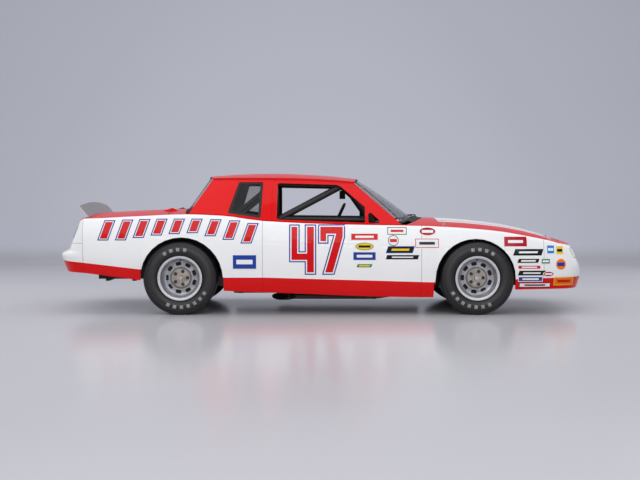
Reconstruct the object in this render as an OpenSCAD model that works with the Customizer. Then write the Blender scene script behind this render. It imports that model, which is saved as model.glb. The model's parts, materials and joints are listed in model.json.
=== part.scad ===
// Oval-track stock car with a two-door coupe body.
// X runs forward, Y to the car's left, Z up; the origin is on the road under the middle of the car.
// The body sides and the two end covers are lofted from the short tables below; panels share the same
// surface functions, so that neighbours meet along one seam.

/* [Overall] */
// Length over the nose and tail covers
overall_length = 5080; // [4950:1:5200]
// Width over the door panels
overall_width = 1830; // [1790:1:1860]
// Height of the roof crown above the road
roof_height = 1345; // [1320:1:1370]
// Distance between the axle lines
wheelbase = 2794; // [2760:1:2830]
// Front axle line ahead of the middle of the car
front_axle_x = 1458; // [1440:1:1475]
// Distance between the tyre centres of one axle
track = 1524; // [1500:1:1530]

/* [Wheels] */
// Tyre diameter
tyre_d = 690; // [670:1:700]
// Tyre section width
tyre_w = 276; // [250:1:284]
// Diameter over the rim flanges
rim_d = 416; // [400:1:430]
// Width over the rim flanges
rim_w = 250; // [220:1:256]
// Number of slots in the wheel disc
slot_count = 9; // [6:1:10]
// Pitch circle diameter of the lugs
lug_pcd = 127; // [110:1:140]
// Wheel spindle diameter
spindle_d = 56; // [44:1:64]

/* [Body panels] */
// Thickness of the body walls
wall_t = 18; // [12:1:22]
// Thickness of the roof, hood and deck lid
lid_t = 20; // [14:1:24]
// Gap round the hood and the deck lid
lid_gap = 7; // [6:1:10]
// Width of the flat along the top edge of the side panels
top_flat = 60; // [54:1:70]
// Front edge of the doors
door_front_x = 930; // [900:1:960]
// Rear edge of the doors
door_rear_x = -560; // [-590:1:-540]
// Length of the nose cover ahead of the fender seam
nose_depth = 460; // [440:1:480]
// Length of the tail covers behind the quarter panel seam
tail_depth = 290; // [270:1:310]
// Share of the side's height taken by the rocker panel
rocker_share = 0.19; // [0.16:0.01:0.22]
// Radius of the rear wheel arch beyond the tyre's
rear_arch_gap = 44; // [36:1:50]
// Radius of the front wheel arch beyond the tyre's
front_arch_gap = 31; // [26:1:40]

/* [Cabin] */
// Thickness of the pillars and roof rails
pillar_t = 38; // [30:1:44]
// Glass thickness
glass_t = 6; // [4:1:8]
// Roll cage tube diameter
cage_d = 44; // [38:1:48]
// Steering wheel diameter
steer_d = 370; // [340:1:390]

/* [Chassis] */
// Width of the frame rails
rail_w = 76; // [60:1:80]
// Height of the frame rails
rail_h = 80; // [70:1:86]
// Rear axle tube diameter
axle_d = 84; // [70:1:96]
// Exhaust pipe diameter
pipe_d = 54; // [46:1:58]

/* [Hidden] */
$fn = 48;
half = overall_width / 2;
nose_x = overall_length / 2;
tail_x = -overall_length / 2;
nose_seam_x = nose_x - nose_depth;
tail_seam_x = tail_x + tail_depth;
rear_axle_x = front_axle_x - wheelbase;
tyre_r = tyre_d / 2;
wheel_y = track / 2;
rear_arch_r = tyre_r + rear_arch_gap;
front_arch_r = tyre_r + front_arch_gap;
arch_z = tyre_r - 4;
// running clearance of a pin in its bore, gap under a seated piece
run = 0.05;
seat = 0.5;

// width of the body side, columns: x, share of the half width
WIDTH = [[-2540, 0.91], [-2250, 0.945], [-1720, 0.99], [-1336, 1], [1458, 1], [1810, 0.99], [2080, 0.966], [2540, 0.9]];
// lower edge of the body side, columns: x, z
BOTTOM = [[-2540, 412], [-2250, 390], [-1700, 322], [-926, 225], [-485, 209], [982, 164], [1822, 236], [2540, 244]];
// upper edge of the body side, columns: x, z
BELT = [[-2540, 905], [-2234, 907], [-1743, 931], [-1260, 948], [-923, 935], [-560, 887], [168, 855], [736, 845],
        [1073, 836], [1339, 819], [1682, 786], [1936, 742], [2249, 681], [2540, 640]];
// section of the body side, columns: share of the height, inset from the full width
SIDE = [[0, 64], [0.19, 22], [0.36, 5], [0.52, 0], [0.7, 6], [0.84, 19], [0.93, 32], [0.97, 43], [0.99, 57], [1, 80]];
// nose and tail sections, columns: share of the height, setback from the end of the car
NOSE = [[0, 38], [0.21, 14], [0.352, 0], [0.46, 12], [0.61, 40], [0.8, 80], [0.918, 106], [0.97, 124], [0.99, 138], [1, 162]];
TAIL = [[0, 54], [0.17, 22], [0.27, 4], [0.305, 0], [0.34, 10], [0.372, 52], [0.4, 86], [0.51, 112], [0.79, 182],
        [0.948, 224], [0.988, 240], [1, 262]];
// plan of the end covers from seam to middle, columns: share of the way, share of the depth, share of the width
PLAN = [[0, 0, 1], [0.15, 0.27, 0.975], [0.3, 0.52, 0.935], [0.42, 0.7, 0.87], [0.54, 0.83, 0.765], [0.68, 0.925, 0.58],
        [0.84, 0.98, 0.31], [1, 1, 0]];
// top edge of the end covers, columns: share of the way from seam to middle, z above the seam's top edge
NOSE_TOP = [[0, 0], [0.3, -32], [0.54, -50], [0.75, -44], [1, -32]];
TAIL_TOP = [[0, 0], [0.54, 5], [1, 38]];
// middle lines of the hood and the deck, columns: x, z
HOOD_MID = [[930, 908], [1110, 903], [1383, 888], [1777, 843], [2093, 780], [2256, 731], [2400, 682]];
DECK_MID = [[-2300, 948], [-1800, 976], [-1325, 995]];
// roof rail, columns: x, share of the half width, z below the crown
RAIL = [[-1055, 0.645, 55], [-790, 0.675, 53], [-400, 0.689, 55], [0, 0.678, 67], [310, 0.645, 90]];
// roof middle line, columns: x, z below the crown
ROOF_MID = [[-1100, 29], [-850, 11], [-520, 0], [0, 20], [400, 61]];
// shares of the height at which the side is sampled, ending on the inner edge of the top flat
ROWS = [0, 0.19, 0.36, 0.52, 0.68, 0.82, 0.92, 0.97, 0.99, 1, 1 + top_flat / 1000];
top_slope = 0.03;

function mix(a, b, t) = a + (b - a) * t;
function unit(v) = v / norm(v);
function flip(p) = [p[0], -p[1], p[2]];
// smooth curve through column c of a table against its first column
function span(t, x, i = 0) = i >= len(t) - 2 || x < t[i + 1][0] ? i : span(t, x, i + 1);
function rise(t, i, c) = (t[i + 1][c] - t[i][c]) / (t[i + 1][0] - t[i][0]);
function tangent(t, i, c) = i == 0 ? rise(t, 0, c) : i == len(t) - 1 ? rise(t, i - 1, c)
    : let (a = rise(t, i - 1, c), b = rise(t, i, c)) a * b <= 0 ? 0 : 2 * a * b / (a + b);
function curve(t, x, c = 1) = let (i = span(t, x), w = t[i + 1][0] - t[i][0], s = (x - t[i][0]) / w)
    t[i][c] * (1 + 2 * s) * (1 - s) * (1 - s) + tangent(t, i, c) * w * s * (1 - s) * (1 - s)
    + t[i + 1][c] * s * s * (3 - 2 * s) + tangent(t, i + 1, c) * w * s * s * (s - 1);

// right body side: point at station x and share f of the height, then the same point d below the surface
function inset(f) = f <= 1 ? curve(SIDE, f) : SIDE[len(SIDE) - 1][1] + (f - 1) * 1000;
function half_w(x) = half * curve(WIDTH, x);
function over(f) = max(0, f - 1) * 1000 * top_slope;
function side_pt(x, f) = [x, inset(f) - half_w(x), mix(curve(BOTTOM, x), curve(BELT, x), min(f, 1)) + over(f)];
function side_in(x, f, d) = let (a = min(f, 0.9995), v = side_pt(x, a + 0.0005) - side_pt(x, a - 0.0005))
    side_pt(x, f) - d * unit([0, -v[2], v[1]]);

// end covers: way q runs 0..1 from the right seam to the middle and on to 2 at the left seam
function setback(t, f) = f <= 1 ? curve(t, f) : t[len(t) - 1][1] + (f - 1) * 1000;
function end_right(e, q, f) = let (sx = e[0], x1 = e[1], dir = sign(x1 - sx))
    [sx + dir * (abs(x1 - sx) - setback(e[2], f)) * curve(PLAN, q, 1),
     -(half_w(sx) - inset(f)) * curve(PLAN, q, 2),
     mix(mix(curve(BOTTOM, sx), curve(BOTTOM, x1), q), curve(BELT, sx) + curve(e[3], q), min(f, 1))
         + over(f) * mix(1, e[4], curve(PLAN, q, 1))];
function end_pt(e, q, f) = q <= 1 ? end_right(e, q, f) : flip(end_right(e, 2 - q, f));
function end_way(e, q, f) = let (a = min(f, 0.9995), h = 0.004)
    unit(cross(end_right(e, min(1, q + h), a) - end_right(e, max(0, q - h), a),
               end_right(e, q, a + 0.0005) - end_right(e, q, a - 0.0005))) * sign(e[1] - e[0]);
function end_in(e, q, f, d) = q > 1 ? flip(end_in(e, 2 - q, f, d)) : q == 0 ? side_in(e[0], f, d)
    : let (n = end_way(e, q, f), p = end_right(e, q, f) - d * (q == 1 ? unit([n[0], 0, n[2]]) : n), dir = sign(e[1] - e[0]))
    [dir * max(dir * p[0], dir * e[0] + 10 * q), p[1], p[2]];
// columns: seam, end of the car, setback table, top edge table, slope of the top flat against the side's
nose_end = [nose_seam_x, nose_x, NOSE, NOSE_TOP, 9];
tail_end = [tail_seam_x, tail_x, TAIL, TAIL_TOP, 2];
WAY = [0, 0.08, 0.16, 0.24, 0.32, 0.39, 0.46, 0.53, 0.6, 0.68, 0.78, 0.89];
way_right = concat(WAY, [1]);
way_all = concat(way_right, [for (i = [len(WAY) - 1:-1:0]) 2 - WAY[i]]);

// a thick sheet between two grids of points; rows run to the right and columns up, seen from outside
module sheet(a, b) {
    n = len(a);
    m = len(a[0]);
    o = n * m;
    function id(i, j) = i * m + j;
    function quad(p, q, r, s) = [[p, q, r], [p, r, s]];
    faces = [for (i = [0:n - 2]) for (j = [0:m - 2]) each concat(
                 quad(id(i, j), id(i, j + 1), id(i + 1, j + 1), id(i + 1, j)),
                 quad(o + id(i, j), o + id(i + 1, j), o + id(i + 1, j + 1), o + id(i, j + 1))),
             for (i = [0:n - 2]) each concat(
                 quad(id(i, 0), id(i + 1, 0), o + id(i + 1, 0), o + id(i, 0)),
                 quad(id(i, m - 1), o + id(i, m - 1), o + id(i + 1, m - 1), id(i + 1, m - 1))),
             for (j = [0:m - 2]) each concat(
                 quad(id(0, j + 1), id(0, j), o + id(0, j), o + id(0, j + 1)),
                 quad(id(n - 1, j + 1), o + id(n - 1, j + 1), o + id(n - 1, j), id(n - 1, j)))];
    polyhedron(concat([for (r = a) each r], [for (r = b) each r]), faces);
}
// part of the right side wall over stations, each from share low to the inner edge of the top flat
function rows_from(low) = [for (f = ROWS) f <= 1 ? mix(low, 1, f) : f];
module side_wall(stations) sheet([for (s = stations) [for (f = rows_from(s[1])) side_pt(s[0], f)]],
                                 [for (s = stations) [for (f = rows_from(s[1])) side_in(s[0], f, wall_t)]]);
module end_wall(e, ways, rows) sheet([for (q = ways) [for (f = rows) end_pt(e, q, f)]],
                                     [for (q = ways) [for (f = rows) end_in(e, q, f, wall_t)]]);
module left() mirror([0, 1, 0]) children();
module both() {
    children();
    left() children();
}
// a plate drawn as an x-z outline, standing between y0 and y1
module slab(y0, y1) translate([0, y1, 0]) rotate([90, 0, 0]) linear_extrude(y1 - y0) children();
module box(x, y, z) translate([x[0], y[0], z[0]]) cube([x[1] - x[0], y[1] - y[0], z[1] - z[0]]);
module rod(a, b, d) let (v = b - a) translate(a) rotate([0, acos(v[2] / norm(v)), atan2(v[1], v[0])])
    cylinder(h = norm(v), d = d);

// wheel arches: share of the height that is left open at station x
rear_arch_x = rear_axle_x + 16;
front_arch_x = front_axle_x - 20;
function arch_low(x, ax, r, low) = abs(x - ax) >= r ? low
    : max(low, (arch_z + sqrt(r * r - pow(x - ax, 2)) - curve(BOTTOM, x)) / (curve(BELT, x) - curve(BOTTOM, x)));
arch_steps = [for (a = [180:-11.25:0]) cos(a)];
function arch_run(ax, r, low) = [for (c = arch_steps) [ax + r * c, arch_low(ax + r * c * 0.9999, ax, r, low)]];
rocker_rear_x = rear_arch_x + rear_arch_r + 4;
rocker_front_x = front_arch_x - front_arch_r - 14;
fender_stations = concat([for (x = [door_front_x, rocker_front_x, front_arch_x - front_arch_r - 4]) [x, rocker_share]],
    arch_run(front_arch_x, front_arch_r, 0),
    [for (x = [front_arch_x + front_arch_r + 4, 1960, nose_seam_x]) [x, 0]]);
quarter_stations = concat([for (x = [tail_seam_x, -2060, -1880, rear_arch_x - rear_arch_r - 4]) [x, 0]],
    arch_run(rear_arch_x, rear_arch_r, 0),
    [for (x = [rocker_rear_x, -840, -700, door_rear_x]) [x, rocker_share]]);
door_x = [for (i = [0:8]) mix(door_rear_x, door_front_x, i / 8)];
door_stations = [for (x = door_x) [x, rocker_share]];

module fender() color("White") side_wall(fender_stations);
module quarter() color("White") side_wall(quarter_stations);
module door() color("White") side_wall(door_stations);
module rocker() color("FireBrick") let (xs = concat([rocker_rear_x, -840, -700], door_x, [rocker_front_x]),
        fs = [0, 0.5, 1] * rocker_share)
    sheet([for (x = xs) [for (f = fs) side_pt(x, f)]], [for (x = xs) [for (f = fs) side_in(x, f, wall_t)]]);

// nose cover with its grille and intake openings
grille_w = 760;
grille_z = [428, 560];
intake_z = [268, 330];
module nose() color("White") difference() {
    end_wall(nose_end, way_all, ROWS);
    box([nose_x - 240, nose_x + 10], [-grille_w / 2, grille_w / 2], grille_z);
    box([nose_x - 240, nose_x + 10], [-grille_w / 2 + 40, grille_w / 2 - 40], intake_z);
}
module grille() color("DimGray") {
    x0 = nose_x - 132;
    difference() {
        box([x0, x0 + 18], [-grille_w / 2 - 15, grille_w / 2 + 15], [grille_z[0] - 8, grille_z[1] + 10]);
        for (i = [0:4]) for (k = [-4:3]) translate([x0 - 1, k * 94 + 5, grille_z[0] + 4 + i * 26]) cube([20, 84, 18]);
    }
}
// tail: bumper cover below the step, sloped panel above it
tail_flat = 20;
BUMPER_ROWS = [0, 0.17, 0.27, 0.305, 0.34, 0.372, 0.4];
TAIL_ROWS = [0.4, 0.51, 0.68, 0.82, 0.92, 0.97, 0.99, 1, 1 + tail_flat / 1000];
tail_all = [for (i = [len(way_all) - 1:-1:0]) way_all[i]];
module rear_bumper() color("White") end_wall(tail_end, tail_all, BUMPER_ROWS);
module tail_panel() color("White") end_wall(tail_end, tail_all, TAIL_ROWS);

// hood and deck lid: share t runs from rear to front, way q from the right edge to the left edge
hood_rear_x = 1000;
hood_bow = 200;
deck_front_x = -1465;
back_base_x = -1325;
back_bow = 47;
flat_row = 1 + top_flat / 1000;
function lid_way(q) = q <= 1 ? q : 2 - q;
function lid_z(edge, mid, b) = mix(mid, edge, b * b);
function hood_rear(b) = hood_rear_x - hood_bow * b * b;
function hood_pt(t, q) = let (w = lid_way(q), b = curve(PLAN, w, 2), n = end_right(nose_end, w, flat_row),
        nm = end_right(nose_end, 1, flat_row)[0] - lid_gap, xe = mix(hood_rear(1), nose_seam_x - lid_gap, t),
        ze = curve(BELT, xe) + over(flat_row), zm = curve(HOOD_MID, mix(hood_rear(0), nm, t)),
        z1 = lid_z(curve(BELT, nose_seam_x) + over(flat_row), curve(HOOD_MID, nm), b))
    [mix(hood_rear(b), n[0] - lid_gap, t), (q <= 1 ? -1 : 1) * (half_w(xe) - inset(flat_row) - lid_gap) * b,
     lid_z(ze, zm, b) + pow(t, 4) * (n[2] - z1)];
function back_base(b) = back_base_x + back_bow * b * b;
function deck_pt(t, q) = let (w = lid_way(q), b = curve(PLAN, w, 2), n = end_right(tail_end, w, 1 + tail_flat / 1000),
        nm = end_right(tail_end, 1, 1 + tail_flat / 1000)[0] + lid_gap, xe = mix(tail_seam_x + lid_gap, deck_front_x, t),
        ze = curve(BELT, xe) + over(flat_row), zm = curve(DECK_MID, mix(nm, deck_front_x, t)))
    [mix(n[0] + lid_gap, deck_front_x, t), (q <= 1 ? -1 : 1) * (half_w(xe) - inset(flat_row) - lid_gap) * b,
     lid_z(ze, zm, b)];
// the lower face of a lid, drawn in a little so that its edges slope clear of the panels round it
function down(g, d) = let (c = (g[0][0][0] + g[len(g) - 1][0][0]) / 2)
    [for (r = g) [for (p = r) [mix(c, p[0], 0.99), 0.99 * p[1], p[2] - d]]];
hood_grid = [for (t = [0, 0.08, 0.2, 0.34, 0.48, 0.62, 0.75, 0.86, 0.94, 1]) [for (q = way_all) hood_pt(t, q)]];
deck_grid = [for (t = [0, 0.12, 0.3, 0.5, 0.7, 0.88, 1]) [for (q = way_all) deck_pt(t, q)]];
function filler_pt(t, q) = let (w = lid_way(q), b = curve(PLAN, w, 2), x0 = deck_front_x + lid_gap,
        x = mix(x0, back_base(b) - 12, t), xe = mix(x0, back_base(1) - 12, t))
    [x, (q <= 1 ? -1 : 1) * (half_w(xe) - inset(flat_row) - seat) * b,
     lid_z(curve(BELT, xe) + over(flat_row), curve(DECK_MID, mix(x0, back_base(0) - 12, t)), b)];
filler_grid = [for (t = [0, 0.33, 0.67, 1]) [for (q = way_all) filler_pt(t, q)]];
pin_d = 12;
hood_hinge_y = half - 215;
hood_axis = [hood_rear(1) - 10, 806];
deck_hinge_y = 430;
deck_axis = [deck_front_x + lid_gap / 2, 991];
// a hinge eye of width w at the right, drawn round the axis with a strap to the two corners given
module eye(y, w, axis, a, b, bore) slab(-y - w / 2, -y + w / 2) difference() {
    union() {
        translate(axis) circle(d = pin_d + 12);
        polygon([axis + [0, 12], axis + a, axis + b, axis + [0, -12]]);
    }
    if (bore > 0) translate(axis) circle(d = bore);
}
module hood() color("FireBrick") union() {
    sheet(hood_grid, down(hood_grid, lid_t));
    both() eye(hood_hinge_y, 12, hood_axis, [80, 34], [106, 34], pin_d + 2 * run);
}
module deck_lid() color("FireBrick") union() {
    sheet(deck_grid, down(deck_grid, lid_t));
    both() eye(deck_hinge_y, 20, deck_axis, [-76, -12], [-76, -26], pin_d + 2 * run);
}
module filler_panel() color("FireBrick") union() {
    sheet(filler_grid, down(filler_grid, lid_t));
    both() {
        for (k = [-18, 18]) eye(deck_hinge_y + k, 12, deck_axis, [46, -8], [46, -26], 0);
        translate([deck_axis[0], -deck_hinge_y + 24, deck_axis[1]]) rotate([90, 0, 0]) cylinder(h = 48, d = pin_d);
    }
}
// bare metal blade across the tail edge of the deck lid
spoiler_w = 1450;
spoiler_h = 104;
spoiler_rake = 88;
module spoiler() color("Silver") {
    s = [for (i = [0:12]) 1 - i / 6];
    foot = [for (k = s) let (b = abs(k) * 0.9, t = 0.03, e = deck_pt(t, 0), m = deck_pt(t, 1))
        [mix(m[0], deck_pt(t, 0.5)[0], b * b), k * spoiler_w / 2, lid_z(e[2], m[2], b) + seat + 0.3]];
    rear = [for (i = [0:12]) [foot[i], foot[i] + [-spoiler_rake, -s[i] * 14, spoiler_h + 2 * (1 - s[i] * s[i])]]];
    sheet(rear, [for (r = rear) [for (p = r) p + [7, 0, 0]]]);
}

// roof, across s from the right rail to the left one
roof_front_x = 340;
roof_rear_x = -1100;
function rail_y(x) = half * curve(RAIL, x, 1);
function rail_z(x) = roof_height - curve(RAIL, x, 2);
function roof_front(s) = roof_front_x - 30 * s * s;
function roof_rear(s) = roof_rear_x + 45 * s * s;
function roof_pt(t, s) = let (xe = mix(roof_rear(1), roof_front(1), t), xm = mix(roof_rear(0), roof_front(0), t))
    [mix(roof_rear(s), roof_front(s), t), s * rail_y(xe),
     mix(roof_height - curve(ROOF_MID, xm), rail_z(xe), pow(abs(s), 2.4))];
ACROSS = [-1, -0.95, -0.86, -0.72, -0.5, -0.25, 0, 0.25, 0.5, 0.72, 0.86, 0.95, 1];
roof_grid = [for (t = [0, 0.06, 0.16, 0.3, 0.45, 0.6, 0.75, 0.87, 0.95, 1]) [for (s = ACROSS) roof_pt(t, s)]];
module roof() color("FireBrick") sheet(roof_grid, down(roof_grid, lid_t));

// side frame: share s from the rear pillar to the front one, share v from the belt to the roof rail
c_base_x = -1258;
a_base_x = 748;
a_top_x = 314;
function frame_pt(s, v) = let (xb = mix(c_base_x, a_base_x, s), xt = mix(roof_rear(1), a_top_x, s))
    mix([xb, inset(1) + 12 - half_w(xb), curve(BELT, xb) + over(flat_row) + 3 * seat],
        [xt, 4 - rail_y(xt), rail_z(xt) - lid_t - 2 * seat], v) - [0, 32 * v * (1 - v), 0];
function frame_grid(d) = [for (i = [0:16]) [for (v = [0, 0.33, 0.67, 1]) frame_pt(i / 16, v) + [0, d, 0]]];
// window outlines in x and z
QUARTER_WINDOW = [[-893, 955], [-580, 908], [-562, roof_height - 95], [-795, roof_height - 95]];
DOOR_WINDOW = [[-430, 896], [405, 864], [405, roof_height - 335], [180, roof_height - 139], [140, roof_height - 121],
    [-425, roof_height - 105]];
VENT_WINDOW = [[435, 862], [570, 860], [435, roof_height - 365]];
// an outline moved inward by d, with its corners rounded to r
function edge_n(a, b) = let (v = unit(b - a)) [-v[1], v[0]];
function corner(a, b, c, d) = let (m = edge_n(a, b), n = edge_n(b, c)) b + d * (m + n) / (1 + m * n);
function pulled(o, d) = let (k = len(o)) [for (i = [0:k - 1]) corner(o[(i + k - 1) % k], o[i], o[(i + 1) % k], d)];
module window_hole(o, r) let (c = pulled(o, r), k = len(o)) {
    polygon([for (i = [0:k - 1]) let (a = edge_n(o[(i + k - 1) % k], o[i]), b = edge_n(o[i], o[(i + 1) % k]))
        for (t = [0, 0.5, 1]) c[i] - r * unit(mix(a, b, t))]);
}
module side_frame() color("FireBrick") difference() {
    sheet(frame_grid(0), frame_grid(pillar_t));
    for (o = [QUARTER_WINDOW, DOOR_WINDOW, VENT_WINDOW]) slab(-half, -400) window_hole(o, 16);
}
module quarter_window() color("DimGray") intersection() {
    sheet(frame_grid(10), frame_grid(10 + glass_t));
    slab(-half, -400) window_hole(pulled(QUARTER_WINDOW, seat), 16);
}
// windshield and rear window hang between the roof edge and the lids
glass_half = half - 111;
shield_in = [0.7, 0, 0.7] * glass_t;
back_in = [-0.85, 0, 0.5] * glass_t;
function shield_pt(s, v) = let (q = abs(s))
    mix([906 - 152 * q * q, s * glass_half, lid_z(curve(BELT, hood_rear(1)) + 18, curve(HOOD_MID, hood_rear_x) - 9, q)],
        roof_pt(1, s) + [shield_in[0] - 2, 0, -3], v) + v * (1 - v) * [40, 0, 40];
function back_pt(s, v) = let (q = abs(s))
    mix([back_base(q) + 4, s * glass_half, lid_z(curve(BELT, back_base(1)) + 7, curve(DECK_MID, back_base_x) - 6, q)],
        roof_pt(0, s) + [back_in[0] + 1.6, 0, -3], v) + v * (1 - v) * [0, 0, 10];
UP = [0, 0.2, 0.4, 0.6, 0.8, 1];
GLASS_ACROSS = [-1, -0.8, -0.6, -0.4, -0.2, 0, 0.2, 0.4, 0.6, 0.8, 1];
module windshield() color("LightSteelBlue") let (g = [for (s = GLASS_ACROSS) [for (v = UP) shield_pt(s, v)]])
    sheet(g, [for (r = g) [for (p = r) p - shield_in]]);
module rear_window() color("LightSteelBlue") let (g = [for (s = GLASS_ACROSS) [for (v = UP) back_pt(-s, v)]])
    sheet(g, [for (r = g) [for (p = r) p - back_in]]);

// frame: side rails, front and rear rails, crossmembers and the outriggers that carry the body panels
sill_z = 200;
side_y = half - 225;
front_y = 390;
front_z = 250;
rear_y = 440;
rear_z = 520;
floor_z = sill_z + rail_h + 15;
firewall_x = 640;
kick_x = -800;
cowl_z = 778;
arm_x = -150;
kingpin_y = wheel_y - 107;
mount_cells = [[-840, -700], [door_x[3], door_x[4]], [door_x[7], door_x[8]]];
mount_y = half - 89;
nose_bar_x = nose_x - 70;
tail_bar_x = tail_x + 50;
lower_z = [front_z + 4, front_z + 28];
upper_z = [430, 454];
module rail(x, y, z) box(x, [y, y + rail_w], [z, z + rail_h]);
module frame_half() {
    rail([kick_x - 38, 890], side_y, sill_z);
    rail([firewall_x + 12, nose_bar_x - 30], front_y, front_z);
    rail([tail_bar_x + 160, kick_x + 38], rear_y, rear_z);
    box([kick_x - 38, kick_x + 38], [rear_y, side_y + 1], [sill_z, sill_z + rail_h]);
    box([kick_x - 38, kick_x + 38], [rear_y, rear_y + rail_w], [sill_z, rear_z + 1]);
    box([600, 700], [front_y, side_y + 1], [sill_z, sill_z + rail_h]);
    // tower that carries the upper arm and the spring
    box([front_axle_x - 160, front_axle_x + 160], [front_y, front_y + rail_w], [front_z + rail_h - 1, 560]);
    // outriggers to the rocker
    for (c = mount_cells) box([mix(c[0], c[1], 0.3), mix(c[0], c[1], 0.7)], [side_y + rail_w - 1, mount_y], [sill_z + 2, sill_z + rail_h - 2]);
    box([tail_bar_x + 70, tail_bar_x + 170], [rear_y, rear_y + rail_w], [rear_z, rear_z + 50]);
}
module frame() color("DimGray") union() {
    both() frame_half();
    box([arm_x - 30, arm_x + 30], [-side_y - 1, side_y + 1], [sill_z, sill_z + rail_h]);
    box([front_axle_x - 40, front_axle_x + 40], [-front_y - 1, front_y + 1], [front_z - 50, front_z + 6]);
    box([2040, 2100], [-front_y - 1, front_y + 1], [front_z, front_z + rail_h]);
    box([tail_bar_x + 160, tail_bar_x + 220], [-rear_y - 1, rear_y + 1], [rear_z, rear_z + rail_h]);
    // bars behind the nose and tail covers
    box([nose_bar_x - 70, nose_bar_x], [-grille_w / 2 - 15, grille_w / 2 + 15], [front_z + rail_h - 1, grille_z[0] - 8]);
    box([tail_bar_x, tail_bar_x + 90], [-rear_y + 60, rear_y - 60], [rear_z, rear_z + 50]);
    box([tail_bar_x + 45, tail_bar_x + 90], [-rear_y - rail_w, rear_y + rail_w], [rear_z, rear_z + 50]);
}
// rubber mounts between the frame and the rockers, nose and tail covers
module body_mounts() color("Black") {
    both() for (c = mount_cells) let (g = [for (x = c) [for (f = [0, rocker_share / 2]) side_in(x, f, wall_t + seat)]])
        sheet(g, [for (r = g) [for (p = r) [p[0], -mount_y, p[2]]]]);
    let (g = [for (q = [0.89, 1, 1.11]) [for (f = [0.19, 0.36]) end_in(nose_end, q, f, wall_t + seat)]])
        sheet(g, [for (r = g) [for (p = r) [nose_bar_x, p[1], p[2]]]]);
    let (g = [for (q = [1.11, 1, 0.89]) [for (f = [0.27, 0.305]) end_in(tail_end, q, f, wall_t + seat)]])
        sheet(g, [for (r = g) [for (p = r) [tail_bar_x, p[1], p[2]]]]);
}
// floor with its tunnel, and the firewall
tunnel_w = 300;
tunnel_z = 470;
module floor_pan() color("DarkSlateGray") union() {
    difference() {
        box([kick_x + 38, firewall_x + 12], [-side_y - 70, side_y + 70], [floor_z - 15, floor_z]);
        box([kick_x, firewall_x + 20], [-tunnel_w / 2, tunnel_w / 2], [0, floor_z + 10]);
    }
    difference() {
        box([kick_x + 50, firewall_x + 12], [-tunnel_w / 2 - 12, tunnel_w / 2 + 12], [floor_z - 15, tunnel_z + 12]);
        box([kick_x, firewall_x + 20], [-tunnel_w / 2, tunnel_w / 2], [0, tunnel_z]);
    }
    difference() {
        box([firewall_x, firewall_x + 12], [195 - half, half - 195], [floor_z - 15, cowl_z]);
        box([firewall_x - 10, firewall_x + 20], [-tunnel_w / 2, tunnel_w / 2], [0, tunnel_z]);
    }
}
// bulkhead behind the cabin, trunk floor and the shelf under the rear window
trunk_z = rear_z + rail_h;
shelf_z = 880;
brace_top = [-480, half - 365, roof_height - 113];
roof_bar = [240, half - 375, roof_height - 129];
cage_y = half - 275;
brace_foot = [-1240, 470, trunk_z + 12];
module rear_bulkhead() color("DarkSlateGray") difference() {
    union() {
        box([kick_x + 38, kick_x + 50], [215 - half, half - 215], [floor_z, shelf_z]);
        box([tail_bar_x + 160, kick_x + 50], [-580, 580], [trunk_z, trunk_z + 12]);
        box([back_base_x + 20, kick_x + 50], [215 - half, half - 215], [shelf_z - 12, shelf_z]);
    }
    box([kick_x, kick_x + 60], [-tunnel_w / 2, tunnel_w / 2], [0, tunnel_z]);
    both() rod(brace_top, mix(brace_top, brace_foot, 0.98), cage_d + 14);
}
// cowl tray under the rear edge of the hood, with the hood's hinge pins
module cowl() color("Black") union() {
    box([firewall_x, hood_rear_x - 20], [243 - half, half - 243], [cowl_z, cowl_z + 10]);
    both() for (k = [-16, 16]) eye(hood_hinge_y + k, 14, hood_axis, [-30, -8], [-30, cowl_z - hood_axis[1]], 0);
    both() box([hood_axis[0] - 44, hood_axis[0] - 14], [hood_hinge_y - 60, hood_hinge_y + 23], [cowl_z, cowl_z + 10]);
    both() translate([hood_axis[0], -hood_hinge_y + 22, hood_axis[1]]) rotate([90, 0, 0]) cylinder(h = 44, d = pin_d);
}

// roll cage, columns: from, to; the right half
dash_x = 560;
hoop_bend = [-480, cage_y, 860];
dash_bend = [dash_x, cage_y, 770];
CAGE = concat([
    [[-480, cage_y, floor_z], hoop_bend], [hoop_bend, brace_top], [brace_top, roof_bar],
    [[dash_x, cage_y, floor_z], dash_bend], [dash_bend, roof_bar], [[-480, cage_y - 10, 900], [474, cage_y - 27, 890]]],
    [for (z = [450, 600, 730]) [[-480, cage_y, z], [dash_x, cage_y, z]]]);
module cage_half() {
    for (t = CAGE) rod(t[0], t[1], cage_d);
    for (p = [hoop_bend, brace_top, dash_bend, roof_bar]) translate(p) sphere(d = cage_d + 3);
    rod(brace_top, brace_foot, cage_d);
}
module roll_cage() color("Black") difference() {
    union() {
        both() cage_half();
        for (p = [brace_top, roof_bar, dash_bend, hoop_bend]) rod(flip(p), p, cage_d);
        rod(flip(hoop_bend), brace_top + [0, 10, -32], cage_d);
        // padded bar beside the right window
        rod([-430, 12 - cage_y, 888], flip(roof_bar) + [-70, 5, -10], cage_d + 18);
    }
    box([-1400, -1100], [-700, 700], [trunk_z - 80, trunk_z + 12]);
}

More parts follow.
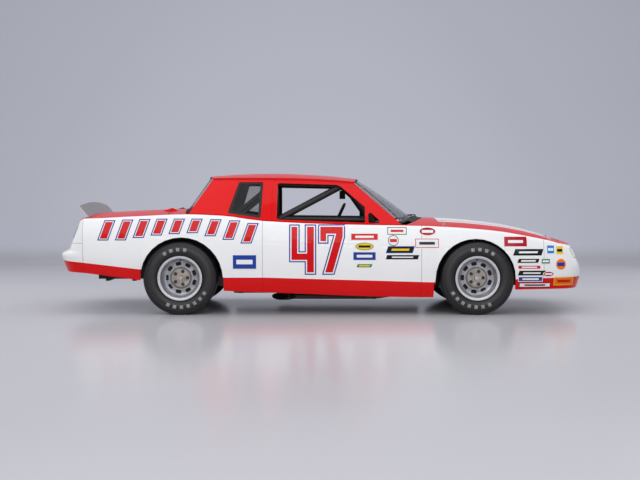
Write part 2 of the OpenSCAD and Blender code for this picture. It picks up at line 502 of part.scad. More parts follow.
// cabin
driver_y = 385;
module driver_seat() color("Black") translate([0, driver_y, 0]) difference() {
    slab(-215, 215) polygon([[-430, floor_z], [120, floor_z], [140, 500], [-200, 470], [-330, 880], [-425, 900], [-450, 860], [-400, 480]]);
    slab(-165, 165) polygon([[170, 700], [170, 420], [-200, 390], [-230, 420], [-385, 840], [-385, 920], [-300, 920]]);
}
module dashboard() color("Black") difference() {
    box([dash_x - 60, firewall_x], [-600, 600], [690, 782]);
    rod([dash_x, -700, 770], [dash_x, 700, 770], cage_d + 2);
    box([dash_x - 24, dash_x + 24], [-700, 700], [770, 800]);
}
steer_tilt = 25;
steer_at = [190, driver_y, 868];
module at_wheel() translate(steer_at) rotate([0, 90 + steer_tilt, 0]) children();
module steering_column() color("DimGray") difference() {
    at_wheel() union() {
        cylinder(h = 400, d = 44);
        translate([0, 0, -30]) cylinder(h = 31, d = 20);
    }
    box([dash_x - 60, 900], [-900, 900], [0, 1200]);
}
module steering_wheel() color("Black") at_wheel() {
    rotate_extrude() translate([steer_d / 2 - 14, -30]) circle(d = 28);
    difference() {
        union() {
            translate([0, 0, -24 - seat]) cylinder(h = 24, d = 84);
            for (a = [90, 210, 330]) rotate(a) translate([20, -14, -24]) cube([steer_d / 2 - 34, 28, 8]);
        }
        translate([0, 0, -40]) cylinder(h = 60, d = 20 + 2 * run);
    }
}
module mirror_glass() color("Black") union() {
    translate([roof_bar[0], 0, roof_bar[2]]) {
        box([-62, -8], [-120, 120], [-126, -44]);
        box([-8, 8], [-12, 12], [-58, -cage_d / 2 - 0.3]);
        box([-20, 8], [-12, 12], [-70, -54]);
    }
}

// running gear
engine_x = [820, 1560];
gearbox_x = 250;
shaft_z = 340;
module engine() color("SlateGray") union() {
    box(engine_x, [-230, 230], [front_z + 6, 560]);
    box([engine_x[0] + 60, engine_x[1] - 60], [-300, 300], [480, 700]);
    box([gearbox_x, engine_x[0] + 1], [-110, 110], [shaft_z - 105, shaft_z + 105]);
}
module radiator() color("Silver") box([2045, 2095], [-340, 340], [front_z + rail_h, 650]);
diff_r = 135;
module rear_axle() color("DimGray") translate([rear_axle_x, 0, tyre_r]) union() {
    rotate([90, 0, 0]) cylinder(h = track - 250, d = axle_d, center = true);
    sphere(r = diff_r);
    rotate([0, 90, 0]) cylinder(h = 300, d = 110);
    rotate([90, 0, 0]) cylinder(h = track + 70, d = spindle_d, center = true);
    both() box([-50, 50], [rear_y + 8, rear_y + rail_w - 8], [0, 62]);
}
module drive_shaft() color("Gray") rod([rear_axle_x + 300 + seat, 0, tyre_r], [gearbox_x - seat, 0, shaft_z], 76);
module truck_arms() color("DimGray") both() difference() {
    slab(-250, -200) polygon([[rear_axle_x - 60, tyre_r + 55], [rear_axle_x - 60, tyre_r - 55], [rear_axle_x + 60, tyre_r - 60],
        [-900, sill_z + 5], [arm_x - 30, sill_z + 5], [arm_x - 30, sill_z + 68], [-860, sill_z + 72], [rear_axle_x + 60, tyre_r + 55]]);
    translate([rear_axle_x, 0, tyre_r]) rotate([90, 0, 0]) cylinder(h = 900, d = axle_d + 0.4, center = true);
    translate([rear_axle_x, 0, tyre_r]) sphere(r = diff_r + 3);
}
module control_arm(z) translate([0, 0, z[0]]) linear_extrude(z[1] - z[0]) difference() {
        union() {
            polygon([[front_axle_x - 150, -front_y - rail_w], [front_axle_x + 150, -front_y - rail_w], [front_axle_x + 30, -kingpin_y], [front_axle_x - 30, -kingpin_y]]);
            translate([front_axle_x, -kingpin_y]) circle(r = 30);
        }
        polygon([[front_axle_x - 90, -front_y - rail_w - 25], [front_axle_x + 90, -front_y - rail_w - 25], [front_axle_x, -kingpin_y + 60]]);
        translate([front_axle_x, -kingpin_y]) circle(d = 28 + 2 * run);
    }
module control_arms() color("DimGray") both() {
    control_arm(lower_z);
    control_arm(upper_z);
}
module knuckle() color("Gray") translate([front_axle_x, -kingpin_y, 0]) union() {
    translate([0, 0, lower_z[1] + seat]) cylinder(h = upper_z[0] - lower_z[1] - 2 * seat, d = 60);
    translate([0, 0, lower_z[0]]) cylinder(h = upper_z[1] - lower_z[0], d = 28);
    translate([0, 0, tyre_r]) rotate([90, 0, 0]) cylinder(h = wheel_y - kingpin_y + 35, d = spindle_d);
    box([-140, 0], [-14, 14], [lower_z[1] + 8, lower_z[1] + 30]);
}
// round coil between two heights
function coil(z0, z1, r, w, turns, n) = [for (i = [0:n]) let (a = 360 * turns * i / n, z = mix(z0, z1, i / n))
    [for (k = [0:5]) let (b = 60 * k) [(r + w * cos(b)) * cos(a), (r + w * cos(b)) * sin(a), z + w * sin(b)]]];
module coil_spring(z0, z1, r, w, turns) let (n = turns * 10, g = coil(z0 + w, z1 - w, r, w, turns, n), m = 6)
    polyhedron([for (c = g) each c], concat(
        [for (i = [0:n - 1]) for (k = [0:m - 1]) each let (a = i * m + k, b = i * m + (k + 1) % m)
            [[a, b, b + m], [a, b + m, a + m]]],
        [[for (k = [m - 1:-1:0]) k], [for (k = [0:m - 1]) n * m + k]]));
module coil_springs() color("FireBrick") both() {
    translate([rear_axle_x, -rear_y - rail_w / 2, 0]) coil_spring(tyre_r + 62, rear_z, 34, 6, 4);
}
pipe_y = side_y + 45;
pipe_z = sill_z - 34;
outlet_d = pipe_d + 16;
module exhaust() color("Black") both() difference() {
    union() {
        rod([-480, -pipe_y, pipe_z], [500, -pipe_y, pipe_z], pipe_d);
        rod([-490, -pipe_y, pipe_z - 2], [-310, -pipe_y, pipe_z - 2], outlet_d);
        rod([500, -pipe_y, pipe_z], [900, -330, pipe_z + 14], pipe_d - 2);
        translate([500, -pipe_y, pipe_z]) sphere(d = pipe_d + 3);
        for (x = [-240, 300]) box([x, x + 40], [-pipe_y - 15, 15 - pipe_y], [pipe_z + 8, sill_z]);
    }
    rod([-500, -pipe_y, pipe_z - 2], [-430, -pipe_y, pipe_z - 2], outlet_d - 8);
}
module fuel_cell() color("Black") union() {
    box([tail_bar_x + 300, tail_bar_x + 750], [-400, 400], [308, rear_z]);
    box([tail_bar_x + 270, tail_bar_x + 780], [-rear_y - 60, rear_y + 60], [rear_z - 12, rear_z]);
    for (x = [370, 630]) box([tail_bar_x + x, tail_bar_x + x + 36], [-404, 404], [288, rear_z]);
}

// wheel: section of the rim and tyre as radius against distance outboard of the tyre's middle
rim_r = rim_d / 2;
bead_r = 190;
plate_z = 42;
module rim_disc() rotate_extrude() polygon([[34, plate_z], [86, plate_z], [104, 26], [150, 24], [168, 34], [172, 34], [172, 24], [168, 24], [150, 12],
    [100, 14], [82, plate_z - 12], [34, plate_z - 12]]);
module rim() color("Silver") difference() {
    union() {
        rotate_extrude() polygon([[rim_r, rim_w / 2], [rim_r, rim_w / 2 - 7], [bead_r, rim_w / 2 - 10], [bead_r, 78], [174, 58], [174, -40], [bead_r, -60],
            [bead_r, 10 - rim_w / 2], [rim_r, 7 - rim_w / 2], [rim_r, -rim_w / 2], [rim_r - 6, -rim_w / 2], [rim_r - 10, 6 - rim_w / 2], [bead_r - 6, 8 - rim_w / 2],
            [bead_r - 6, -57], [168, -37], [168, 56], [bead_r - 6, 76], [bead_r - 6, rim_w / 2 - 8], [rim_r - 10, rim_w / 2 - 6], [rim_r - 6, rim_w / 2]]);
        rim_disc();
        translate([0, 0, -20]) cylinder(h = plate_z + 28, d = 76);
    }
    for (i = [0:slot_count - 1]) rotate(360 / slot_count * (i + 0.5)) translate([133, 0, 0]) linear_extrude(100) {
        square([34, 32], center = true);
        square([14, 52], center = true);
        for (x = [-7, 7]) for (y = [-16, 16]) translate([x, y]) circle(r = 10);
    }
    translate([0, 0, -50]) cylinder(h = 200, d = spindle_d + 2 * run);
    for (i = [0:4]) rotate(72 * i) translate([lug_pcd / 2, 0, plate_z - 40]) cylinder(h = 60, d = 16);
}
function arc(c, r, a0, a1, n) = [for (i = [0:n]) let (a = mix(a0, a1, i / n)) c + r * [cos(a), sin(a)]];
module tyre() color("Black") rotate_extrude(convexity = 4) {
    w = tyre_w / 2;
    half_out = concat([[bead_r + 0.2, w - 38], [bead_r + 0.2, rim_w / 2 - 10.4], [rim_r + 0.2, rim_w / 2 - 7.5],
        [rim_r + 1, rim_w / 2 - 4], [rim_r + 16, w - 8], [rim_r + 50, w], [tyre_r - 62, w - 1]],
        arc([tyre_r - 36, w - 38], 36, 86, 10, 5), [[tyre_r, w - 60]]);
    inner = [[tyre_r - 22, w - 60], [tyre_r - 40, w - 26], [rim_r + 50, w - 14], [rim_r + 10, w - 24], [bead_r + 10, w - 38]];
    polygon(concat(half_out, [for (i = [len(half_out) - 1:-1:0]) [half_out[i][0], -half_out[i][1]]],
        [for (i = [len(inner) - 1:-1:0]) [inner[i][0], -inner[i][1]]], inner));
}
module at_axle(x) translate([x, -wheel_y, tyre_r]) rotate([90, 0, 0]) children();

fender();  // fender_right
left() fender();  // fender_left
quarter();  // quarter_right
left() quarter();  // quarter_left
door();  // door_right
left() door();  // door_left
rocker();  // rocker_right
left() rocker();  // rocker_left
nose();
grille();
rear_bumper();
tail_panel();
hood();
deck_lid();
filler_panel();
spoiler();
roof();
side_frame();  // side_frame_right
left() side_frame();  // side_frame_left
both() quarter_window();  // quarter_windows
windshield();
rear_window();
frame();
body_mounts();
floor_pan();
rear_bulkhead();
cowl();
roll_cage();
driver_seat();
dashboard();
steering_column();
steering_wheel();
mirror_glass();  // mirror
engine();
radiator();
rear_axle();
drive_shaft();
truck_arms();
control_arms();
knuckle();  // knuckle_right
left() knuckle();  // knuckle_left
coil_springs();
exhaust();
fuel_cell();
at_axle(front_axle_x) rim();  // rim_front_right
left() at_axle(front_axle_x) rim();  // rim_front_left
at_axle(rear_axle_x) rim();  // rim_rear_right
left() at_axle(rear_axle_x) rim();  // rim_rear_left
at_axle(front_axle_x) tyre();  // tyre_front_right
left() at_axle(front_axle_x) tyre();  // tyre_front_left
at_axle(rear_axle_x) tyre();  // tyre_rear_right
left() at_axle(rear_axle_x) tyre();  // tyre_rear_left
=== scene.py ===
import json
import math
import bmesh
import bpy
from mathutils import Matrix, Vector
from mathutils.bvhtree import BVHTree


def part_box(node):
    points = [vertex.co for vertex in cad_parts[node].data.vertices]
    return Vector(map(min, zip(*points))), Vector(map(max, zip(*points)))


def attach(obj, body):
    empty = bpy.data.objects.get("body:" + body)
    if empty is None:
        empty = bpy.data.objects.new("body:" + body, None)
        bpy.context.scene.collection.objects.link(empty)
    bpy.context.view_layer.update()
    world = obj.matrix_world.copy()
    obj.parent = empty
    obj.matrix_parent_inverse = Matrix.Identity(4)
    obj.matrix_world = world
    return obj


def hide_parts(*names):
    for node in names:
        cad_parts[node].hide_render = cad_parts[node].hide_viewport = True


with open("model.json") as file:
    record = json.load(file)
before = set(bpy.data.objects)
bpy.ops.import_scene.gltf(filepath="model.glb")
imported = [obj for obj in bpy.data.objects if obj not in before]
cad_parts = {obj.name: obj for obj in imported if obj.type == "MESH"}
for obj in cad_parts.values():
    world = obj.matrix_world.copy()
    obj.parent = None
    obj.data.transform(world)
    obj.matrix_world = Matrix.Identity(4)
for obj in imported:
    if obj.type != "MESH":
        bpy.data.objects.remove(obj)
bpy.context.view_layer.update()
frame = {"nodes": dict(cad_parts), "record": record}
scene = bpy.context.scene
scene.view_settings.view_transform = "Standard"


# Studio: a pale sealed-concrete floor that runs up into a grey backdrop behind the car.
# It is stage only. The floor keeps the car's shadow and a weak mirror image of it.
class Wire:
    """An output socket of a material's nodes. Sums and products on it add Math nodes."""

    def __init__(self, tree, socket=None):
        self.tree = tree
        self.socket = socket

    def node(self, kind, settings=None, sockets=None, out=0):
        """A new node with its settings and its fed sockets. Stops are the points of a grey ramp."""
        made = self.tree.nodes.new(kind)
        for name, value in (settings or {}).items():
            if name == "stops":
                ramp = made.color_ramp
                while len(ramp.elements) < len(value):
                    ramp.elements.new(0.5)
                for element, (place, level) in zip(ramp.elements, value):
                    element.position = place
                    element.color = (level, level, level, 1)
            else:
                setattr(made, name, value)
        for name, value in (sockets or {}).items():
            self.feed(made.inputs[name], value)
        return Wire(self.tree, made.outputs[out])

    def feed(self, socket, value):
        """Links a wire to a socket, or sets a constant on it."""
        if isinstance(value, Wire):
            self.tree.links.new(value.socket, socket)
        else:
            socket.default_value = value

    def math(self, operation, first, second=0.0):
        return self.node("ShaderNodeMath", {"operation": operation}, {0: first, 1: second})

    def __add__(self, other):
        return self.math("ADD", self, other)

    def __sub__(self, other):
        return self.math("SUBTRACT", self, other)

    def __rsub__(self, other):
        return self.math("SUBTRACT", other, self)

    def __mul__(self, other):
        return self.math("MULTIPLY", self, other)

    def __lt__(self, other):
        return self.math("LESS_THAN", self, other)

    def __gt__(self, other):
        return self.math("GREATER_THAN", self, other)

    def __abs__(self):
        return self.math("ABSOLUTE", self)

    def __or__(self, other):
        return self.math("MAXIMUM", self, other)

    __radd__ = __add__
    __rmul__ = __mul__

    def mix(self, share, one, other):
        """Colour one where share is 0, colour other where it is 1."""
        return self.node("ShaderNodeMix", {"data_type": "RGBA"}, {0: share, 6: one, 7: other}, out=2)

    def place(self, axis=None):
        """Object coordinates, or one of them as a number."""
        spot = self.node("ShaderNodeTexCoord", out=3)
        if axis is None:
            return spot
        return self.node("ShaderNodeSeparateXYZ", {}, {0: spot}, out="XYZ".index(axis))

    def noise(self, scale, detail=3.0, stretch=(1, 1, 1)):
        spot = self.node("ShaderNodeMapping", {}, {"Vector": self.place(), "Scale": stretch})
        return self.node("ShaderNodeTexNoise", {}, {"Vector": spot, "Scale": scale, "Detail": detail})

    def between(self, value, low, high):
        """0 below low, 1 above high, with a soft step."""
        soft = {"interpolation_type": "SMOOTHSTEP"}
        return self.node("ShaderNodeMapRange", soft, {0: value, 1: low, 2: high})

    def bump(self, height, strength, distance):
        sockets = {"Height": height, "Strength": strength, "Distance": distance}
        return self.node("ShaderNodeBump", {}, sockets)


def colour(red, green, blue):
    """A screen colour of 0 to 255 as linear light."""
    light = []
    for level in (red, green, blue):
        light.append(pow((level / 255 + 0.055) / 1.055, 2.4) if level > 10 else level / 3295)
    return (*light, 1)


def new_finish(name, **sockets):
    """A material with its principled shader: returns the material, its wire and the shader's inputs."""
    finish = bpy.data.materials.new(name)
    finish.use_nodes = True
    tree = finish.node_tree
    inputs = tree.nodes["Principled BSDF"].inputs
    for key, value in sockets.items():
        inputs[key.replace("_", " ")].default_value = value
    return finish, Wire(tree), inputs


def corners_of(geometry):
    return [v for v in geometry if isinstance(v, bmesh.types.BMVert)]


def edges_of(geometry):
    return [e for e in geometry if isinstance(e, bmesh.types.BMEdge)]


floor_half_x = 40
floor_half_y = 26
floor_shift = -18.5
sweep_steps = 8
sweep_stride = 0.6
sweep_lag = 0.1
wall_rise = 14
floor_mesh = bmesh.new()
bmesh.ops.create_grid(floor_mesh, x_segments=1, y_segments=1, size=1)
bmesh.ops.scale(floor_mesh, vec=(floor_half_x, floor_half_y, 1), verts=floor_mesh.verts)
bmesh.ops.translate(floor_mesh, vec=(0, floor_shift, 0), verts=floor_mesh.verts)
back_edge = [e for e in floor_mesh.edges if all(v.co.y > 0 for v in e.verts)]
for step in range(sweep_steps):
    slope = math.radians(90 / sweep_steps) * (step + 1) - sweep_lag
    raised = bmesh.ops.extrude_edge_only(floor_mesh, edges=back_edge)["geom"]
    rise = (0, sweep_stride * math.cos(slope), sweep_stride * math.sin(slope))
    bmesh.ops.translate(floor_mesh, vec=rise, verts=corners_of(raised))
    back_edge = edges_of(raised)
raised = bmesh.ops.extrude_edge_only(floor_mesh, edges=back_edge)["geom"]
bmesh.ops.translate(floor_mesh, vec=(0, 0, wall_rise), verts=corners_of(raised))
bmesh.ops.recalc_face_normals(floor_mesh, faces=floor_mesh.faces)
floor_mesh.faces.ensure_lookup_table()
if floor_mesh.faces[0].normal.z < 0:
    bmesh.ops.reverse_faces(floor_mesh, faces=floor_mesh.faces)
floor_data = bpy.data.meshes.new("studio_floor")
floor_mesh.to_mesh(floor_data)
floor_mesh.free()
for face in floor_data.polygons:
    face.use_smooth = True
floor = bpy.data.objects.new("studio_floor", floor_data)
scene.collection.objects.link(floor)
concrete, wire, shader = new_finish("studio_concrete", Specular_IOR_Level=0.4)
polish = wire.noise(0.35, 2)
wall_share = wire.between(wire.place("Z"), 0.0, 0.3)
slab = wire.mix(polish, colour(186, 184, 188), colour(194, 192, 196))
wire.feed(shader["Base Color"], wire.mix(wall_share, slab, colour(214, 215, 223)))
wire.feed(shader["Roughness"], 0.18 + 0.06 * polish + 0.6 * wall_share)
# the stage is clear from its back, so that the car can be looked at from behind it and from below
behind = wire.node("ShaderNodeNewGeometry", out="Backfacing")
solid = Wire(wire.tree, wire.tree.nodes["Principled BSDF"].outputs[0])
nothing = wire.node("ShaderNodeBsdfTransparent")
one_sided = wire.node("ShaderNodeMixShader", {}, {0: behind, 1: solid, 2: nothing})
wire.feed(wire.tree.nodes["Material Output"].inputs["Surface"], one_sided)
floor_data.materials.append(concrete)

scene.world = bpy.data.worlds.new("studio_air")
scene.world.use_nodes = True
air = scene.world.node_tree.nodes["Background"].inputs
air["Color"].default_value = (0.86, 0.9, 1, 1)
air["Strength"].default_value = 0.42
# lamps, columns: place, aim, width, length, watts
LAMPS = {
    "roof_panel": ((0, -1.0, 6.5), (0, 0, 0), 11.0, 7.0, 270),
    "front_panel": ((-1.2, -12.0, 6.5), (0, 0, 0.6), 16.0, 6.0, 880),
    "lower_tube": ((0, -13.0, 2.3), (0, 0, 0.7), 14.0, 0.12, 75),
    "upper_tube": ((0, -13.0, 3.3), (0, 0, 0.7), 14.0, 0.12, 75),
    "left_panel": ((-6.5, 1.5, 3.9), (-0.5, 0, 0.7), 6.0, 6.0, 120),
    "right_panel": ((6.5, 2.5, 3.9), (0.5, 0, 0.7), 6.0, 6.0, 120),
    "back_panel": ((0, 5.2, 5.6), (0, 0, 0.8), 9.0, 2.0, 15),
}
for lamp_name, (place, aim, width, length, watts) in LAMPS.items():
    lamp = bpy.data.lights.new(lamp_name, "AREA")
    lamp.shape = "RECTANGLE"
    lamp.size = width
    lamp.size_y = length
    lamp.energy = watts
    lamp_object = bpy.data.objects.new(lamp_name, lamp)
    lamp_object.location = place
    lamp_object.rotation_euler = (Vector(aim) - Vector(place)).to_track_quat("-Z", "Y").to_euler()
    scene.collection.objects.link(lamp_object)

camera_tilt = 1.97
camera = bpy.data.objects.new("camera", bpy.data.cameras.new("camera"))
camera.data.lens = 63.8
camera.data.clip_end = 200
camera.location = (-0.021, -11.5, 1.07)
camera.rotation_euler = (math.radians(90 - camera_tilt), 0, 0)
scene.collection.objects.link(camera)
scene.camera = camera


# Underbody steel: frame, floor pressings, cage and dash, welded from tube and sheet and painted satin
# black. The body mounts, the steering wheel's grip and the mirror are moulded in black rubber.
# Each CAD solid is taken over as one merged shell with its flat faces kept flat.
def body_of(node):
    bodies = frame["record"]["behaviour"]["bodies"]
    return next(body for body, nodes in bodies.items() if node in nodes)


def smooth_to(shape, angle):
    """Smooth shading over every edge flatter than an angle. An edge with one face counts as sharp."""
    for face in shape.faces:
        face.smooth = True
    for edge in shape.edges:
        edge.smooth = edge.calc_face_angle(math.pi) < math.radians(angle)


weld_reach = 1e-5
car_middle = Vector((0, 0, 0.62))
inner_weights = Vector((0.2, 1, 1))
inner_limit = -0.12


def dress(node, finish, angle=32, inner=None):
    """A merged copy of a CAD node, smooth up to an angle, that stands for it and wears the finish.
    Faces that look towards the middle of the car take the inner finish, if there is one."""
    data = frame["nodes"][node].data.copy()
    data.name = node + "_shell"
    shell = bmesh.new()
    shell.from_mesh(data)
    bmesh.ops.remove_doubles(shell, verts=shell.verts, dist=weld_reach)
    for face in shell.faces:
        out = (face.calc_center_median() - car_middle) * inner_weights
        face.material_index = 1 if inner and face.normal.dot(out) < inner_limit else 0
    smooth_to(shell, angle)
    data.materials.clear()
    shell.to_mesh(data)
    shell.free()
    if data.has_custom_normals:
        data.attributes.remove(data.attributes["custom_normal"])
    data.materials.append(finish)
    if inner:
        data.materials.append(inner)
    piece = bpy.data.objects.new(node + "_dressed", data)
    scene.collection.objects.link(piece)
    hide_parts(node)
    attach(piece, body_of(node))
    return piece


satin, wire, shader = new_finish("satin_black_steel", Specular_IOR_Level=0.4)
grime = wire.noise(9, 6)
wire.feed(shader["Base Color"], wire.mix(grime, colour(16, 16, 17), colour(42, 41, 40)))
wire.feed(shader["Roughness"], 0.38 + 0.3 * grime)
wire.feed(shader["Normal"], wire.bump(wire.noise(160), 0.15, 0.0006))
for node in ("frame", "floor_pan", "rear_bulkhead", "roll_cage", "dashboard", "fuel_cell", "cowl"):
    dress(node, satin)

rubber, wire, shader = new_finish("mount_rubber", Roughness=0.75)
wire.feed(shader["Base Color"], wire.mix(wire.noise(30), colour(18, 18, 18), colour(34, 33, 32)))
for node in ("body_mounts", "steering_wheel", "mirror"):
    dress(node, rubber)


# Running gear: engine block, cast and forged axle parts and arms, bolted to the frame and left in oiled
# bare metal with some dust on top. The exhaust is sooty tube hung under the side rails. The coil springs
# are enamelled red.
steel, wire, shader = new_finish("oiled_steel", Metallic=0.85)
dust = wire.noise(14, 5)
wire.feed(shader["Base Color"], wire.mix(dust, colour(92, 92, 94), colour(128, 124, 118)))
wire.feed(shader["Roughness"], 0.34 + 0.32 * dust)
wire.feed(shader["Normal"], wire.bump(wire.noise(240), 0.2, 0.0005))
for node in ("engine", "rear_axle", "drive_shaft", "truck_arms", "control_arms", "knuckle_right",
             "knuckle_left", "steering_column", "radiator"):
    dress(node, steel)
sooty, wire, shader = new_finish("sooty_pipe", Metallic=0.4)
wire.feed(shader["Base Color"], wire.mix(wire.noise(8), colour(26, 25, 24), colour(64, 56, 50)))
wire.feed(shader["Roughness"], 0.5 + 0.3 * wire.noise(20))
# near-black for the sunk mouth of each outlet: soot, and painted shade that stands for the dark bore beyond
# the cap
soot_and_painted_shade, wire, shader = new_finish("soot_and_painted_shade", Roughness=0.9, Specular_IOR_Level=0.1)
wire.feed(shader["Base Color"], wire.mix(wire.noise(40), colour(6, 6, 6), colour(16, 15, 14)))


def all_of(shape):
    return shape.verts[:] + shape.edges[:] + shape.faces[:]


# each outlet is cut slantwise, so that its mouth is an oval that looks outward
outlet_radius = 0.035
outlet_wall = 0.0025
bore_front = -0.42
cut_x = -0.395
mouth_rim = 0.004
mouth_depth = 0.06
outlet = dress("exhaust", sooty)
outlet.data.materials.append(soot_and_painted_shade)
low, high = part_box("exhaust")
outlet_y = high.y - outlet_radius
outlet_z = low.z + outlet_radius
pipe = bmesh.new()
pipe.from_mesh(outlet.data)
bore = []
for face in pipe.faces:
    middle = face.calc_center_median()
    off_axis = math.hypot(abs(middle.y) - outlet_y, middle.z - outlet_z)
    if middle.x < bore_front and off_axis < outlet_radius - outlet_wall:
        bore.append(face)
bmesh.ops.delete(pipe, geom=bore, context="FACES")
for side in (-1, 1):
    cut = bmesh.ops.bisect_plane(pipe, geom=all_of(pipe), plane_co=(cut_x, side * outlet_y, 0),
                                 plane_no=(-0.07, side * 0.17, 0), clear_outer=True)["geom_cut"]
    mouth = bmesh.ops.edgeloop_fill(pipe, edges=edges_of(cut))["faces"]
    pipe.normal_update()
    bmesh.ops.inset_region(pipe, faces=mouth, thickness=mouth_rim, use_boundary=True, use_even_offset=True)
    # the sunk mouth and its cap take the soot and painted shade
    for face in mouth:
        face.material_index = 1
    sunk = bmesh.ops.extrude_face_region(pipe, geom=mouth)["geom"]
    bmesh.ops.delete(pipe, geom=mouth, context="FACES_ONLY")
    bmesh.ops.translate(pipe, vec=(mouth_depth, 0, 0), verts=corners_of(sunk))
bmesh.ops.recalc_face_normals(pipe, faces=pipe.faces)
pipe.to_mesh(outlet.data)
pipe.free()

spring_red, wire, shader = new_finish("spring_enamel", Roughness=0.35)
wire.feed(shader["Base Color"], wire.mix(wire.noise(20), colour(150, 24, 20), colour(184, 32, 26)))
dress("coil_springs", spring_red, angle=60)


# Rear wheel houses: flat sheet panels inboard of the rear tyres, spot-welded between the trunk floor and
# the quarter panels and painted with the frame. They close the wheel arch against the trunk.
def settle(shape, name, finishes, body):
    """Turns a finished shape into a piece that rides on a body."""
    data = bpy.data.meshes.new(name)
    shape.to_mesh(data)
    shape.free()
    for finish in finishes:
        data.materials.append(finish)
    piece = bpy.data.objects.new(name, data)
    scene.collection.objects.link(piece)
    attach(piece, body)
    return piece


def fit(shape, name, finish, body, angle=35):
    """A piece in one finish that is smooth up to an angle."""
    bmesh.ops.recalc_face_normals(shape, faces=shape.faces)
    smooth_to(shape, angle)
    return settle(shape, name, [finish], body)


SIDES = ((-1, "right"), (1, "left"))
upright = Matrix.Rotation(math.radians(90), 3, "X")
house_radius = 0.43
house_x = -1.32
house_y = 0.606
house_z = 0.345
house_foot = 0.56
house_sheet = 0.004
for side, side_name in SIDES:
    house = bmesh.new()
    bmesh.ops.create_circle(house, cap_ends=True, segments=48, radius=house_radius)
    bmesh.ops.rotate(house, verts=house.verts, cent=(0, 0, 0), matrix=upright)
    bmesh.ops.translate(house, vec=(house_x, side * house_y, house_z), verts=house.verts)
    bmesh.ops.bisect_plane(house, geom=all_of(house), plane_co=(0, 0, house_foot),
                           plane_no=(0, 0, -1), clear_outer=True)
    bmesh.ops.solidify(house, geom=house.faces[:], thickness=house_sheet)
    fit(house, "wheel_house_" + side_name, satin, "chassis")


# Seat: a one-piece moulded bucket in black woven cover, bolted to the floor.
# Two sewn pads in knitted cloth lie on its back and its base.
weave, wire, shader = new_finish("seat_weave", Roughness=0.85, Sheen_Weight=0.3)
threads = wire.node("ShaderNodeTexWave", {"wave_type": "BANDS", "bands_direction": "DIAGONAL"},
                    {"Vector": wire.place(), "Scale": 180.0, "Distortion": 0.4})
wire.feed(shader["Base Color"], wire.mix(threads, colour(20, 20, 22), colour(40, 40, 43)))
wire.feed(shader["Normal"], wire.bump(threads, 0.3, 0.001))
dress("driver_seat", weave)

pad_cloth, wire, shader = new_finish("pad_cloth", Roughness=0.9, Sheen_Weight=0.35)
knit = wire.node("ShaderNodeTexWave", {"bands_direction": "Z"},
                 {"Vector": wire.place(), "Scale": 150.0, "Distortion": 1.0})
worn = knit * 0.6 + 0.4 * wire.noise(30)
wire.feed(shader["Base Color"], wire.mix(worn, colour(34, 34, 38), colour(62, 62, 67)))
wire.feed(shader["Normal"], wire.bump(knit, 0.3, 0.001))
seat_y = 0.385
pad_bed = 0.001
pad_edge = 0.003
pad_half_width = 0.152
side_pull = 0.05
end_pull = 0.03
channel_at = 0.33
channel_width = 0.05
channel_depth = 0.3


def seat_pad(name, start, way, lift, length, thick):
    """A crowned pad: its sides pull in between the corners, and two sewn channels run along it."""
    start = Vector(start)
    way = Vector(way).normalized()
    lift = Vector(lift).normalized()
    shape = bmesh.new()
    for upper in (False, True):
        for corner in bmesh.ops.create_grid(shape, x_segments=36, y_segments=24, size=1)["verts"]:
            across = corner.co.x
            along = corner.co.y
            crown = (1 - across ** 6) * (1 - along ** 6)
            channel = sum(math.exp(-((across - u) / channel_width) ** 2) for u in (-channel_at, channel_at))
            height = pad_edge + thick * crown * (1 - channel_depth * channel) if upper else pad_bed
            run = 0.5 + 0.5 * along * (1 - end_pull * (1 - across * across))
            corner.co = start + way * length * run + lift * height
            corner.co.y += pad_half_width * across * (1 - side_pull * (1 - along * along))
    bmesh.ops.bridge_loops(shape, edges=[e for e in shape.edges if e.is_boundary])
    fit(shape, name, pad_cloth, "chassis", angle=60)


seat_pad("seat_back_pad", (-0.256, seat_y, 0.49), (-0.155, 0, 0.42), (0.42, 0, 0.155), 0.36, 0.022)
seat_pad("seat_base_pad", (-0.18, seat_y, 0.392), (0.33, 0, 0.026), (-0.026, 0, 0.33), 0.31, 0.036)


# Cabin fittings: five blank dials in spun bezels on the dash, a floor shift lever and a harness.
# Its two shoulder and two lap belts are flat blue webbing that lies on the seat and meets in a buckle.
def bar(shape, a, b, radius, tip=None, segments=18):
    """A round bar or cone between two points."""
    a = Vector(a)
    b = Vector(b)
    made = bmesh.ops.create_cone(shape, cap_ends=True, segments=segments, radius1=radius,
                                 radius2=radius if tip is None else tip, depth=(b - a).length)["verts"]
    bmesh.ops.rotate(shape, verts=made, cent=(0, 0, 0), matrix=(b - a).to_track_quat("Z", "Y").to_matrix())
    bmesh.ops.translate(shape, verts=made, vec=(a + b) / 2)


def ball(shape, place, radius):
    """A round knob or joint."""
    made = bmesh.ops.create_uvsphere(shape, u_segments=18, v_segments=10, radius=radius)["verts"]
    bmesh.ops.translate(shape, verts=made, vec=place)


dial_face, wire, shader = new_finish("dial_face", Roughness=0.4)
wire.feed(shader["Base Color"], wire.mix(wire.noise(60), colour(222, 222, 216), colour(236, 236, 232)))
dash_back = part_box("dashboard")[0].x
dial_z = 0.735
first_dial_y = 0.22
dial_pitch = 0.085
DIAL_RADII = (0.027, 0.027, 0.042, 0.027, 0.027)
dials = bmesh.new()
bezels = bmesh.new()
for count, radius in enumerate(DIAL_RADII):
    y = first_dial_y + dial_pitch * count
    bar(bezels, (dash_back, y, dial_z), (dash_back - 0.012, y, dial_z), radius, radius * 0.93, 28)
    bar(dials, (dash_back - 0.011, y, dial_z), (dash_back - 0.0135, y, dial_z), radius * 0.86, segments=28)
fit(bezels, "dial_bezels", steel, "chassis")
fit(dials, "dial_faces", dial_face, "chassis")
lever = bmesh.new()
bar(lever, (0.14, 0, 0.482), (0.14, 0, 0.50), 0.05, 0.03)
bar(lever, (0.14, 0, 0.498), (0.08, 0.03, 0.70), 0.009)
ball(lever, (0.078, 0.031, 0.71), 0.025)
fit(lever, "shift_lever", rubber, "chassis")

